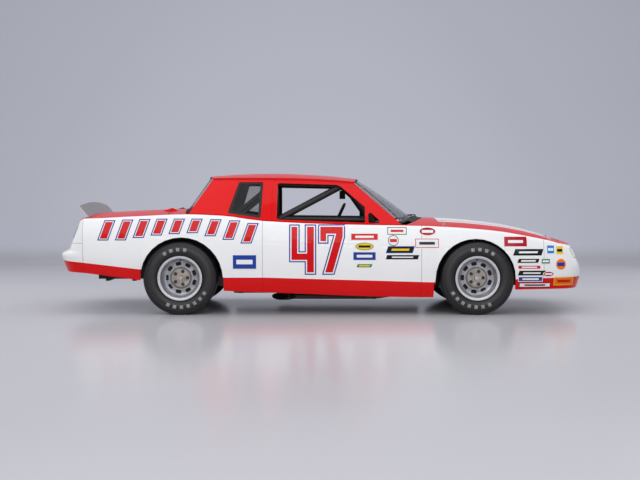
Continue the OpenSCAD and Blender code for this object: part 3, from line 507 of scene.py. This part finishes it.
webbing, wire, shader = new_finish("harness_webbing", Roughness=0.7, Sheen_Weight=0.2)
rib = wire.node("ShaderNodeTexWave", {"bands_direction": "Y"}, {"Vector": wire.place(), "Scale": 120.0})
wire.feed(shader["Base Color"], wire.mix(rib, colour(30, 44, 110), colour(44, 62, 140)))
wire.feed(shader["Normal"], wire.bump(rib, 0.25, 0.0006))
webbing_thick = 0.003


def strap(shape, route, way, width):
    """Flat webbing along a route, its width along one direction."""
    half = Vector(way).normalized() * width / 2
    first = [shape.verts.new(Vector(route[0]) - half), shape.verts.new(Vector(route[0]) + half)]
    edges = [shape.edges.new(first)]
    for a, b in zip(route, route[1:]):
        raised = bmesh.ops.extrude_edge_only(shape, edges=edges)["geom"]
        bmesh.ops.translate(shape, vec=Vector(b) - Vector(a), verts=corners_of(raised))
        edges = edges_of(raised)
    bmesh.ops.solidify(shape, geom=shape.faces[:], thickness=webbing_thick)


# shoulder belt from the cage over the seat to the buckle, columns: x, y off the seat's middle, z
SHOULDER = [(-0.458, 0.075, 0.884), (-0.44, 0.075, 0.908), (-0.40, 0.075, 0.903), (-0.358, 0.075, 0.85),
            (-0.284, 0.07125, 0.649), (-0.216, 0.06, 0.47), (-0.165, 0.0375, 0.446), (-0.12, 0.015, 0.446)]
# lap belt from the seat's side to the buckle, same columns
LAP = [(-0.19, 0.161, 0.478), (-0.18, 0.15, 0.455), (-0.14, 0.09, 0.449), (-0.11, 0.02, 0.447)]
for count, side in enumerate((-1, 1)):
    belt = bmesh.new()
    strap(belt, [(x, seat_y + side * y, z) for x, y, z in SHOULDER], (0, 1, 0), 0.07)
    fit(belt, "shoulder_belt_%d" % count, webbing, "chassis")
    belt = bmesh.new()
    strap(belt, [(x, seat_y + side * y, z) for x, y, z in LAP], (0.8, side * 0.5, 0), 0.05)
    fit(belt, "lap_belt_%d" % count, webbing, "chassis")
buckle = Vector((-0.105, seat_y, 0.446))
latch = bmesh.new()
bar(latch, buckle, buckle + Vector((0, 0, 0.014)), 0.03, 0.027, 28)
bar(latch, buckle + Vector((0, 0, 0.014)), buckle + Vector((0, 0, 0.019)), 0.016, 0.014, 20)
bar(latch, buckle + Vector((0.01, 0, 0.016)), buckle + Vector((0.06, 0, 0.02)), 0.006, 0.004, 10)
fit(latch, "harness_buckle", steel, "chassis")


# Body paint: two-colour gloss enamel with a clear coat over hand-formed steel panels.
# White sides, red roof, lids and lower band, and a white panel with two red stripes on the hood. Panel
# seams show as thin dark lines.
def paint(name):
    """Enamel: returns its finish, wire and inputs, then x, distance off the middle, z, white and red."""
    finish, wire, shader = new_finish(name, Coat_Weight=0.3, Coat_Roughness=0.04, Specular_IOR_Level=0.08)
    across = abs(wire.place("Y"))
    along = wire.place("X")
    up = wire.place("Z")
    white = wire.mix(wire.noise(3), colour(226, 226, 226), colour(234, 234, 233))
    red = wire.mix(wire.noise(2), colour(206, 0, 4), colour(214, 2, 6))
    wire.feed(shader["Roughness"], 0.3 + 0.1 * wire.noise(6))
    return finish, wire, shader, along, across, up, white, red


SIDE_PANELS = ("fender_right", "fender_left", "quarter_right", "quarter_left", "door_right", "door_left",
               "rocker_right", "rocker_left", "nose", "rear_bumper", "tail_panel")
half_length = 2.54
top_edge_in = 0.062
top_edge_drop = 0.02
# paint lines, columns: x, height of the lower band's top edge, half width of the body, height of the belt
LINES = [(-2.54, 0.513, 0.833, 0.905), (-2.25, 0.49, 0.865, 0.907), (-1.72, 0.43, 0.906, 0.932),
         (-0.918, 0.352, 0.915, 0.935), (-0.54, 0.353, 0.915, 0.886), (1.025, 0.309, 0.915, 0.838),
         (1.81, 0.335, 0.906, 0.765), (2.08, 0.346, 0.884, 0.716), (2.54, 0.356, 0.82, 0.64)]
# upright seams, columns: x, half width of the line
SEAMS = [(0.93, 0.0022), (-0.56, 0.0022), (2.08, 0.002), (-2.25, 0.002)]
bumper_seam_z = 0.672
livery, wire, shader, along, across, up, white, red = paint("side_enamel")
share = (along + half_length) * (1 / (2 * half_length))
ramps = []
for column in (1, 2, 3):
    stops = [((row[0] + half_length) / (2 * half_length), row[column]) for row in LINES]
    ramps.append(wire.node("ShaderNodeValToRGB", {"stops": stops}, {0: share}))
band, half_width, belt_height = ramps
top = (across < half_width - top_edge_in) * (up > belt_height - top_edge_drop)
red_share = (up < band) | top
seam = (abs(up - bumper_seam_z) < 0.002) * (along < -2.25)
for x, half_line in SEAMS:
    seam = seam | (abs(along - x) < half_line)
wire.feed(shader["Base Color"], wire.mix(seam * 0.6, wire.mix(red_share, white, red), colour(40, 36, 36)))
for node in SIDE_PANELS:
    dress(node, livery, angle=40, inner=satin)

roof_red, wire, shader, along, across, up, white, red = paint("roof_enamel")
door_edge = (abs(along + 0.475) < 0.0018) * (up < 1.22) * (across > 0.55)
wire.feed(shader["Base Color"], wire.mix(door_edge * 0.55, red, colour(60, 6, 8)))
for node in ("roof", "side_frame_right", "side_frame_left", "deck_lid", "filler_panel"):
    dress(node, roof_red, angle=40, inner=satin)

lid_paint, wire, shader, along, across, up, white, red = paint("hood_enamel")
panel = (across < 0.52) * (along > 1.12) * (along < 2.22)
stripe = (across > 0.40) * (across < 0.44)
wire.feed(shader["Base Color"], wire.mix(panel * (1 - stripe), red, white))
dress("hood", lid_paint, angle=40, inner=satin)


# Race number and stripes: cut vinyl pressed onto the enamel of both sides, red in a white and a blue rim.
# Each shape is cut into a grid and laid on the panels it crosses.
side_skin = bmesh.new()
for node in SIDE_PANELS:
    side_skin.from_mesh(frame["nodes"][node].data)
skin = BVHTree.FromBMesh(side_skin)
side_skin.free()


def flat_face(shape, outline):
    """One flat face in the x-z plane from a few corners."""
    return shape.faces.new([shape.verts.new((x, 0, z)) for x, z in outline])


step_along = 0.018
step_up = 0.03
cut_margin = 1e-4
far_off = 3


def press_on(shape, name, finishes, side, lift, axis=1):
    """Lays flat x-z (or y-z) shapes on the skin from one side, lifted by the vinyl's thickness."""
    if axis == 0:
        quarter_turn = Matrix.Rotation(math.radians(90), 3, "Z")
        bmesh.ops.rotate(shape, verts=shape.verts, cent=(0, 0, 0), matrix=quarter_turn)
    for cut_axis, step in ((1 - axis, step_along), (2, step_up)):
        places = [v.co[cut_axis] for v in shape.verts]
        cut = min(places) + step
        while cut < max(places) - cut_margin:
            spot = Vector((0, 0, 0))
            spot[cut_axis] = cut
            way = Vector((0, 0, 0))
            way[cut_axis] = 1
            bmesh.ops.bisect_plane(shape, geom=all_of(shape), plane_co=spot, plane_no=way)
            cut += step
    for corner in shape.verts:
        start = corner.co.copy()
        start[axis] = side * far_off
        way = Vector((0, 0, 0))
        way[axis] = -side
        hit, outward = skin.ray_cast(start, way)[:2]
        corner.co = hit + lift * outward
    shape.normal_update()
    inward = [f for f in shape.faces if f.normal[axis] * side < 0]
    bmesh.ops.reverse_faces(shape, faces=inward)
    settle(shape, name, finishes, "chassis")


def vinyl(name, tone):
    """Glossy vinyl in one tone, a little uneven."""
    finish, wire, shader = new_finish("vinyl_" + name, Coat_Weight=0.2, Coat_Roughness=0.04,
                                      Specular_IOR_Level=0.08)
    shade = tuple(c * 0.86 for c in tone[:3]) + (1,)
    wire.feed(shader["Base Color"], wire.mix(wire.noise(5), shade, tone))
    wire.feed(shader["Roughness"], 0.28 + 0.12 * wire.noise(9))
    return finish


TONES = {"red": (206, 4, 16), "blue": (34, 62, 150), "white": (236, 236, 236), "yellow": (236, 200, 40),
         "black": (24, 24, 26), "orange": (240, 120, 24), "green": (40, 130, 84), "maroon": (168, 14, 40),
         "sky": (34, 126, 204)}
VINYL = {name: vinyl(name, colour(*tone)) for name, tone in TONES.items()}


def rimmed(shape, face, rims):
    """Cuts rims off the edge of a face from the outside in, one for each pair of width and material."""
    shape.normal_update()
    for width, index in rims:
        ring = bmesh.ops.inset_region(shape, faces=[face], thickness=width, use_boundary=True,
                                      use_even_offset=True)["faces"]
        for part in ring:
            part.material_index = index


# digit outlines, columns: x, z, as shares of the digit's height
FOUR = [(0, 1), (0, 0.25), (0.31, 0.25), (0.31, 0), (0.54, 0), (0.54, 1), (0.31, 1), (0.31, 0.47),
        (0.21, 0.47), (0.21, 1)]
SEVEN = [(0, 1), (0.54, 1), (0.54, 0.75), (0.33, 0), (0.08, 0), (0.3, 0.77), (0.21, 0.77), (0.21, 0.62),
         (0, 0.62)]
number_height = 0.47
number_foot = 0.38
number_middle = -0.048
number_lift = 0.0016
RED_IN_BLUE = [VINYL["red"], VINYL["blue"], VINYL["white"]]
for side, side_name in SIDES:
    shape = bmesh.new()
    for outline, start in ((FOUR, -0.31), (SEVEN, -0.04)):
        corners = [(x * number_height + start, z * number_height + number_foot) for x, z in outline]
        if side > 0:
            corners = [(2 * number_middle - x, z) for x, z in corners]
        rimmed(shape, flat_face(shape, corners), ((0.011, 1), (0.011, 2)))
    press_on(shape, "number_" + side_name, RED_IN_BLUE, side, number_lift)

# quarter panel bars, columns: x, top z, bottom z
BARS = [(-2.13, 0.885, 0.70), (-1.9, 0.895, 0.70), (-1.5, 0.905, 0.755), (-1.2, 0.905, 0.77),
        (-0.9, 0.895, 0.71), (-0.6, 0.85, 0.65)]


def bar_edge(x, column):
    """The height of the bars' top or bottom line at x."""
    after = next(i for i in range(1, len(BARS)) if x <= BARS[i][0] or i == len(BARS) - 1)
    a = BARS[after - 1]
    b = BARS[after]
    return a[column] + (b[column] - a[column]) * (x - a[0]) / (b[0] - a[0])


bar_count = 9
bar_start = -2.11
bar_pitch = 0.168
bar_width = 0.105
bar_lean = 0.35
foot_middle = 0.05
head_middle = 0.08
for side, side_name in SIDES:
    shape = bmesh.new()
    for count in range(bar_count):
        x = bar_start + bar_pitch * count
        low = bar_edge(x + foot_middle, 2)
        high = bar_edge(x + head_middle, 1)
        lean = bar_lean * (high - low)
        corners = [(x, low), (x + bar_width, low), (x + bar_width + lean, high), (x + lean, high)]
        rimmed(shape, flat_face(shape, corners), ((0.010, 1), (0.007, 2)))
    press_on(shape, "quarter_bars_" + side_name, RED_IN_BLUE, side, number_lift)


# Small stickers: plain cut-vinyl patches pressed on the doors, front fenders and quarters of both sides.
# Each is a square, a leaning one or an oval with a rim and one bar in other colours, and no marking.
# columns: shape, x, z, width, height, colour, rim, bar
PATCHES = [
    ("square", 0.395, 0.735, 0.26, 0.07, "red", "white", "white"),
    ("round", 0.395, 0.645, 0.17, 0.07, "yellow", "green", "black"),
    ("square", 0.395, 0.555, 0.22, 0.085, "blue", "white", "white"),
    ("slant", 0.395, 0.465, 0.15, 0.042, "green", "white", "yellow"),
    ("square", 0.70, 0.79, 0.18, 0.07, "white", "black", "red"),
    ("round", 0.665, 0.70, 0.10, 0.10, "white", "black", "red"),
    ("slant", 0.73, 0.615, 0.25, 0.065, "black", "blue", "yellow"),
    ("slant", 0.75, 0.545, 0.30, 0.04, "black", "black", "white"),
    ("round", 0.985, 0.785, 0.16, 0.085, "maroon", "white", "white"),
    ("square", 0.98, 0.675, 0.22, 0.085, "white", "red", "black"),
    ("square", 1.81, 0.69, 0.215, 0.09, "maroon", "red", "white"),
    ("slant", 1.93, 0.59, 0.27, 0.06, "black", "black", "white"),
    ("square", 2.145, 0.615, 0.08, 0.085, "sky", "white", "white"),
    ("square", 2.235, 0.605, 0.08, 0.085, "yellow", "white", "black"),
    ("slant", 1.93, 0.51, 0.21, 0.05, "black", "white", "white"),
    ("round", 2.245, 0.475, 0.11, 0.115, "orange", "white", "blue"),
    ("square", 2.095, 0.505, 0.09, 0.055, "green", "white", "white"),
    ("square", 1.94, 0.45, 0.22, 0.04, "red", "white", "white"),
    ("slant", 1.965, 0.395, 0.25, 0.045, "black", "black", "white"),
    ("round", 2.125, 0.385, 0.11, 0.055, "maroon", "white", "white"),
    ("square", 1.955, 0.338, 0.235, 0.05, "blue", "white", "white"),
    ("square", 2.0, 0.28, 0.3, 0.045, "white", "black", "black"),
    ("square", 2.28, 0.315, 0.2, 0.08, "orange", "yellow", "red"),
    ("square", -0.727, 0.5, 0.23, 0.14, "blue", "white", "white"),
]
sticker_rim = 0.006
sticker_lift = 0.0014
sticker_bar_lift = 0.0024
sticker_lean = 0.35
tones = list(VINYL)


def cut_patch(shape, kind, x, z, width, height):
    """A flat sticker outline: a rectangle, a leaning one or an oval."""
    if kind == "round":
        disc = bmesh.ops.create_circle(shape, cap_ends=True, segments=28, radius=0.5)["verts"]
        bmesh.ops.rotate(shape, verts=disc, cent=(0, 0, 0), matrix=upright)
        bmesh.ops.scale(shape, vec=(width, 1, height), verts=disc)
        bmesh.ops.translate(shape, vec=(x, 0, z), verts=disc)
        return disc[0].link_faces[0]
    w = width / 2
    h = height / 2
    lean = sticker_lean * h if kind == "slant" else 0
    outline = [(x - w - lean, z - h), (x + w - lean, z - h), (x + w + lean, z + h), (x - w + lean, z + h)]
    return flat_face(shape, outline)


for side, side_name in SIDES:
    patches = bmesh.new()
    bars = bmesh.new()
    for kind, x, z, width, height, tone, rim, bar_tone in PATCHES:
        face = cut_patch(patches, kind, x, z, width, height)
        face.material_index = tones.index(tone)
        rimmed(patches, face, ((sticker_rim, tones.index(rim)),))
        face = cut_patch(bars, "square" if kind == "round" else kind, x, z, width * 0.66, height * 0.3)
        face.material_index = tones.index(bar_tone)
    press_on(patches, "stickers_" + side_name, list(VINYL.values()), side, sticker_lift)
    press_on(bars, "sticker_bars_" + side_name, list(VINYL.values()), side, sticker_bar_lift)


# Spoiler and grille: a raked blade of sheet aluminium on the deck lid's rear edge, brushed and left bare,
# and a punched steel grid behind the nose opening, painted satin black with the frame.
bare, wire, shader = new_finish("bare_aluminium", Metallic=0.8)
grain = wire.noise(40, 3, (1, 14, 1))
wire.feed(shader["Base Color"], wire.mix(grain, colour(150, 150, 150), colour(176, 175, 173)))
wire.feed(shader["Roughness"], 0.36 + 0.2 * grain)
dress("spoiler", bare)
dress("grille", satin)


# Glass: clear laminated windshield and rear window, tinted acrylic in the quarter windows. Each pane is
# held by a black rubber seal that runs round its edge on the outside, the windshield by steel clips too.
def glazing(name, tint, cover):
    """Clear material with a tint, whose cover is the share that it hides, with a little haze."""
    finish, wire, shader = new_finish(name, Roughness=0.02, Specular_IOR_Level=0.6)
    haze = wire.noise(4, 5)
    wire.feed(shader["Base Color"], wire.mix(haze, tint, tuple(c * 1.2 for c in tint[:3]) + (1,)))
    wire.feed(shader["Alpha"], cover + 0.06 * haze)
    finish.surface_render_method = "BLENDED"
    return finish


def facing(way, y):
    """A direction given for the car's left side, as it is on the side where y lies."""
    return Vector((way[0], math.copysign(way[1], y), way[2]))


outer_limit = 0.5
seal_lift = 0.0035
seal_thick = 0.003


def edge_seal(node, way, width):
    """A rubber frame on the outer face of a pane, which looks along one direction on the left side."""
    seal = bmesh.new()
    seal.from_mesh(frame["nodes"][node].data)
    bmesh.ops.remove_doubles(seal, verts=seal.verts, dist=weld_reach)
    seal.normal_update()
    hidden = []
    for face in seal.faces:
        if face.normal.dot(facing(way, face.calc_center_median().y)) < outer_limit:
            hidden.append(face)
    bmesh.ops.delete(seal, geom=hidden, context="FACES")
    pane = seal.faces[:]
    bmesh.ops.inset_region(seal, faces=pane, thickness=width, use_boundary=True, use_even_offset=True)
    bmesh.ops.delete(seal, geom=pane, context="FACES")
    for corner in seal.verts:
        corner.co += seal_lift * facing(way, corner.co.y)
    bmesh.ops.solidify(seal, geom=seal.faces[:], thickness=seal_thick)
    fit(seal, node + "_seal", rubber, "chassis")


clear = glazing("clear_glass", colour(88, 98, 100), 0.29)
smoked = glazing("smoked_glass", colour(34, 37, 38), 0.17)
screen_out = Vector((0.5, 0, 0.866))
# panes, columns: node, glass, the way the outer face looks, width of the seal
PANES = [
    ("windshield", clear, screen_out, 0.018),
    ("rear_window", clear, (-0.6, 0, 0.8), 0.02),
    ("quarter_windows", smoked, (0, 1, 0), 0.026),
]
for node, glass, way, width in PANES:
    dress(node, glass, angle=50)
    edge_seal(node, way, width)

# steel clips that hold the windshield's sides, three a side, each with a hex screw
clip_size = (0.03, 0.04, 0.003)
clip_lift = 0.007
clip_inset = 0.012
level_weight = 10
clip_tilt = screen_out.to_track_quat("Z", "Y").to_matrix()
clips = bmesh.new()
rim_points = [v.co for v in frame["nodes"]["windshield"].data.vertices]
foot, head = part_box("windshield")
for side in (-1, 1):
    for share in (0.25, 0.5, 0.75):
        level = foot.z + share * (head.z - foot.z)
        edge = min(rim_points, key=lambda p: level_weight * abs(p.z - level) - side * p.y)
        at = Vector((edge.x, edge.y - side * clip_inset, edge.z)) + clip_lift * screen_out
        made = bmesh.ops.create_cube(clips, size=1)["verts"]
        bmesh.ops.scale(clips, vec=clip_size, verts=made)
        bmesh.ops.rotate(clips, verts=made, cent=(0, 0, 0), matrix=clip_tilt)
        bmesh.ops.translate(clips, vec=at, verts=made)
        bar(clips, at, at + 0.006 * screen_out, 0.006, 0.0045, 6)
fit(clips, "windshield_clips", steel, "chassis")


# Wheels: pressed and welded steel discs in silver enamel, bolted to the hubs. Inside the plain silver lip
# the slotted ring and hub are painted darker, painted shade mottled by brake dust; the tyres are racing
# slicks with a bulged sidewall and worn pale blocks on it.
CORNERS = ("front_right", "front_left", "rear_right", "rear_left")
wheelbase_middle = 0.061
half_wheelbase = 1.397
axle_height = 0.345


def from_axle(wire):
    """Offset ahead of and above the nearer axle line, and the distance from it."""
    ahead = abs(wire.place("X") - wheelbase_middle) - half_wheelbase
    above = wire.place("Z") - axle_height
    return ahead, above, wire.math("SQRT", ahead * ahead + above * above)


silver, wire, shader = new_finish("wheel_enamel", Metallic=0.55)
brake_dust = wire.noise(18, 5)
radius = from_axle(wire)[2]
# inside the lip the dished ring and hub are painted darker as painted shade, mottled by brake dust, the hub
# with a brown stain
lip = wire.between(radius, 0.186, 0.196)
hub = 1 - wire.between(radius, 0.088, 0.1)
dust_and_shade = wire.mix(brake_dust, colour(104, 104, 108), colour(186, 186, 192))
stain_and_shade = wire.mix(brake_dust, colour(108, 96, 84), colour(190, 182, 174))
wire.feed(shader["Base Color"], wire.mix(lip, wire.mix(hub, dust_and_shade, stain_and_shade), colour(206, 206, 209)))
wire.feed(shader["Roughness"], 0.29 + 0.2 * brake_dust)
slick, wire, shader = new_finish("tyre_rubber", Specular_IOR_Level=0.5)
scuff = wire.noise(24, 6)
ahead, above, radius = from_axle(wire)
turn = wire.math("ARCTAN2", above, ahead)
sidewall = wire.between(radius, 0.214, 0.222) - wire.between(radius, 0.318, 0.328)
bulge = radius - 0.262
roundness = sidewall * (0.011 - 3.2 * bulge * bulge)
ridge = wire.between(radius, 0.296, 0.3) - wire.between(radius, 0.304, 0.308)
marks = (radius > 0.254) * (radius < 0.286) * (wire.math("SINE", turn * 26) > 0.1)
marks = marks * ((abs(turn - 1.35) < 0.5) | (abs(turn + 1.9) < 0.85))
black = wire.mix(scuff, colour(9, 9, 11), colour(27, 26, 29))
wire.feed(shader["Base Color"], wire.mix(marks * (0.25 + 0.6 * scuff), black, colour(176, 174, 170)))
wire.feed(shader["Roughness"], 0.4 + 0.2 * scuff)
wire.feed(shader["Normal"], wire.bump(roundness + 0.002 * ridge + 0.0004 * wire.noise(300), 1.0, 1.0))
for corner in CORNERS:
    dress("rim_" + corner, silver)
    dress("tyre_" + corner, slick, angle=40)


# Wheel hardware: hex lug nuts on their studs, a pressed hub cap, a rubber valve stem and the brake disc
# that shows through the slots. All of it turns with the wheel.
polished, wire, shader = new_finish("plated_steel", Metallic=0.95)
wire.feed(shader["Base Color"], wire.mix(wire.noise(50), colour(140, 132, 128), colour(204, 196, 192)))
wire.feed(shader["Roughness"], 0.28 + 0.2 * wire.noise(80))
cast, wire, shader = new_finish("cast_disc", Metallic=0.6)
wire.feed(shader["Base Color"], wire.mix(wire.noise(30), colour(52, 48, 46), colour(84, 78, 74)))
wire.feed(shader["Roughness"], 0.55 + 0.2 * wire.noise(12))
# bars of each piece, columns: how many round the wheel, turn of the first, then from and to of the
# distance off the axle, of the depth outward of the wheel's middle and of the radius, then sides
HARDWARE = {
    "lug_nuts": (cast, [
        (5, 0, (0.0635, 0.0635), (0.0421, 0.046), (0.016, 0.016), 18),
        (5, 0, (0.0635, 0.0635), (0.046, 0.062), (0.0135, 0.0125), 6),
        (5, 0, (0.0635, 0.0635), (0.062, 0.074), (0.0065, 0.0058), 12),
    ]),
    "hub_cap": (polished, [
        (1, 0, (0, 0), (0.0501, 0.056), (0.037, 0.036), 32),
        (1, 0, (0, 0), (0.056, 0.070), (0.028, 0.022), 32),
        (8, 0, (0.0315, 0.0315), (0.056, 0.061), (0.0042, 0.0038), 6),
    ]),
    "valve": (rubber, [
        (1, 90, (0.172, 0.166), (0.064, 0.085), (0.005, 0.004), 12),
        (1, 90, (0.166, 0.163), (0.085, 0.096), (0.0048, 0.0048), 12),
    ]),
    "brake_disc": (cast, [
        (1, 0, (0, 0), (-0.021, 0.0), (0.085, 0.085), 40),
        (1, 0, (0, 0), (-0.045, -0.021), (0.15, 0.15), 56),
    ]),
}
for corner in CORNERS:
    low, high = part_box("tyre_" + corner)
    centre = (low + high) / 2
    out = -1 if "right" in corner else 1
    for name, (finish, rows) in HARDWARE.items():
        shape = bmesh.new()
        for count, first_turn, distances, depths, radii, sides in rows:
            for number in range(count):
                turn = math.radians(first_turn + 360 / count * number)
                ends = []
                for distance, depth in zip(distances, depths):
                    off = (distance * math.cos(turn), out * depth, distance * math.sin(turn))
                    ends.append(centre + Vector(off))
                bar(shape, *ends, *radii, sides)
        fit(shape, name + "_" + corner, finish, "wheel_" + corner)


# Hood pins, cowl cover, wiper and lamp covers: a plated pin and clip through each hood corner, a black
# moulded strip at the foot of the windshield with one wiper parked over it, and cut vinyl pressed on
# where a road car has its lamps.
lid_skin = bmesh.new()
lid_skin.from_mesh(frame["nodes"]["hood"].data)
hood_top = BVHTree.FromBMesh(lid_skin)
lid_skin.free()
PIN_SPOTS = [(2.16, 0.52), (2.16, -0.52), (1.16, 0.68), (1.16, -0.68)]
pins = bmesh.new()
for x, y in PIN_SPOTS:
    z = hood_top.ray_cast(Vector((x, y, 2)), Vector((0, 0, -1)))[0].z
    # scuff plate, pin and clip
    bar(pins, (x, y, z - 0.002), (x, y, z + 0.003), 0.024, 0.022, 24)
    bar(pins, (x, y, z), (x, y, z + 0.022), 0.0055, 0.0045, 12)
    bar(pins, (x - 0.03, y, z + 0.014), (x + 0.012, y, z + 0.014), 0.0018, 0.0018, 8)
fit(pins, "hood_pins", polished, "hood")

# the cover is crowned between two arcs, which fall back and down from the middle of the car
cover_reach = 0.74
cover_half = 0.804
cover_crown = 0.09
cover_thick = 0.004
cover = bmesh.new()
bmesh.ops.create_grid(cover, x_segments=5, y_segments=24, size=1)
for corner in cover.verts:
    step = (corner.co.x + 1) / 2
    share = corner.co.y * cover_reach
    fall = share * share
    rear = Vector((0.904 - 0.152 * fall, share * cover_half, 0.899 - 0.037 * fall))
    front = Vector((0.985 - 0.219 * fall, share * cover_half, 0.893 - 0.069 * fall))
    crown = cover_crown * step * (1 - step) * (1 - fall)
    corner.co = rear.lerp(front, step) + Vector((0, 0, crown))
bmesh.ops.solidify(cover, geom=cover.faces[:], thickness=cover_thick)
fit(cover, "cowl_cover", rubber, "chassis")

ARM = [(0.94, -0.08, 0.905), (0.935, -0.08, 0.929), (0.918, 0.14, 0.93), (0.893, 0.34, 0.925)]
BLADE = [(0.91, 0.02, 0.922), (0.905, 0.16, 0.922), (0.889, 0.34, 0.917), (0.862, 0.5, 0.909)]
wiper = bmesh.new()
for route, radius, knob in ((ARM, 0.006, 0.007), (BLADE, 0.005, 0.0055)):
    for a, b in zip(route, route[1:]):
        bar(wiper, a, b, radius)
        ball(wiper, b, knob)
fit(wiper, "wiper", satin, "chassis")

lamp_width = 0.15
lamp_rim = 0.004
lamp_lift = 0.003
# lamp covers, columns: end of the car, its side along x, colour, z, height
LAMP_COVERS = [("front", 1, "white", 0.575, 0.09), ("rear", -1, "red", 0.77, 0.12)]
for end, side, tone, z, height in LAMP_COVERS:
    shape = bmesh.new()
    for y in (-0.645, -0.475, 0.475, 0.645):
        rimmed(shape, cut_patch(shape, "square", y, z, lamp_width, height), ((lamp_rim, 1),))
    press_on(shape, "lamp_covers_" + end, [VINYL[tone], VINYL["black"]], side, lamp_lift, axis=0)
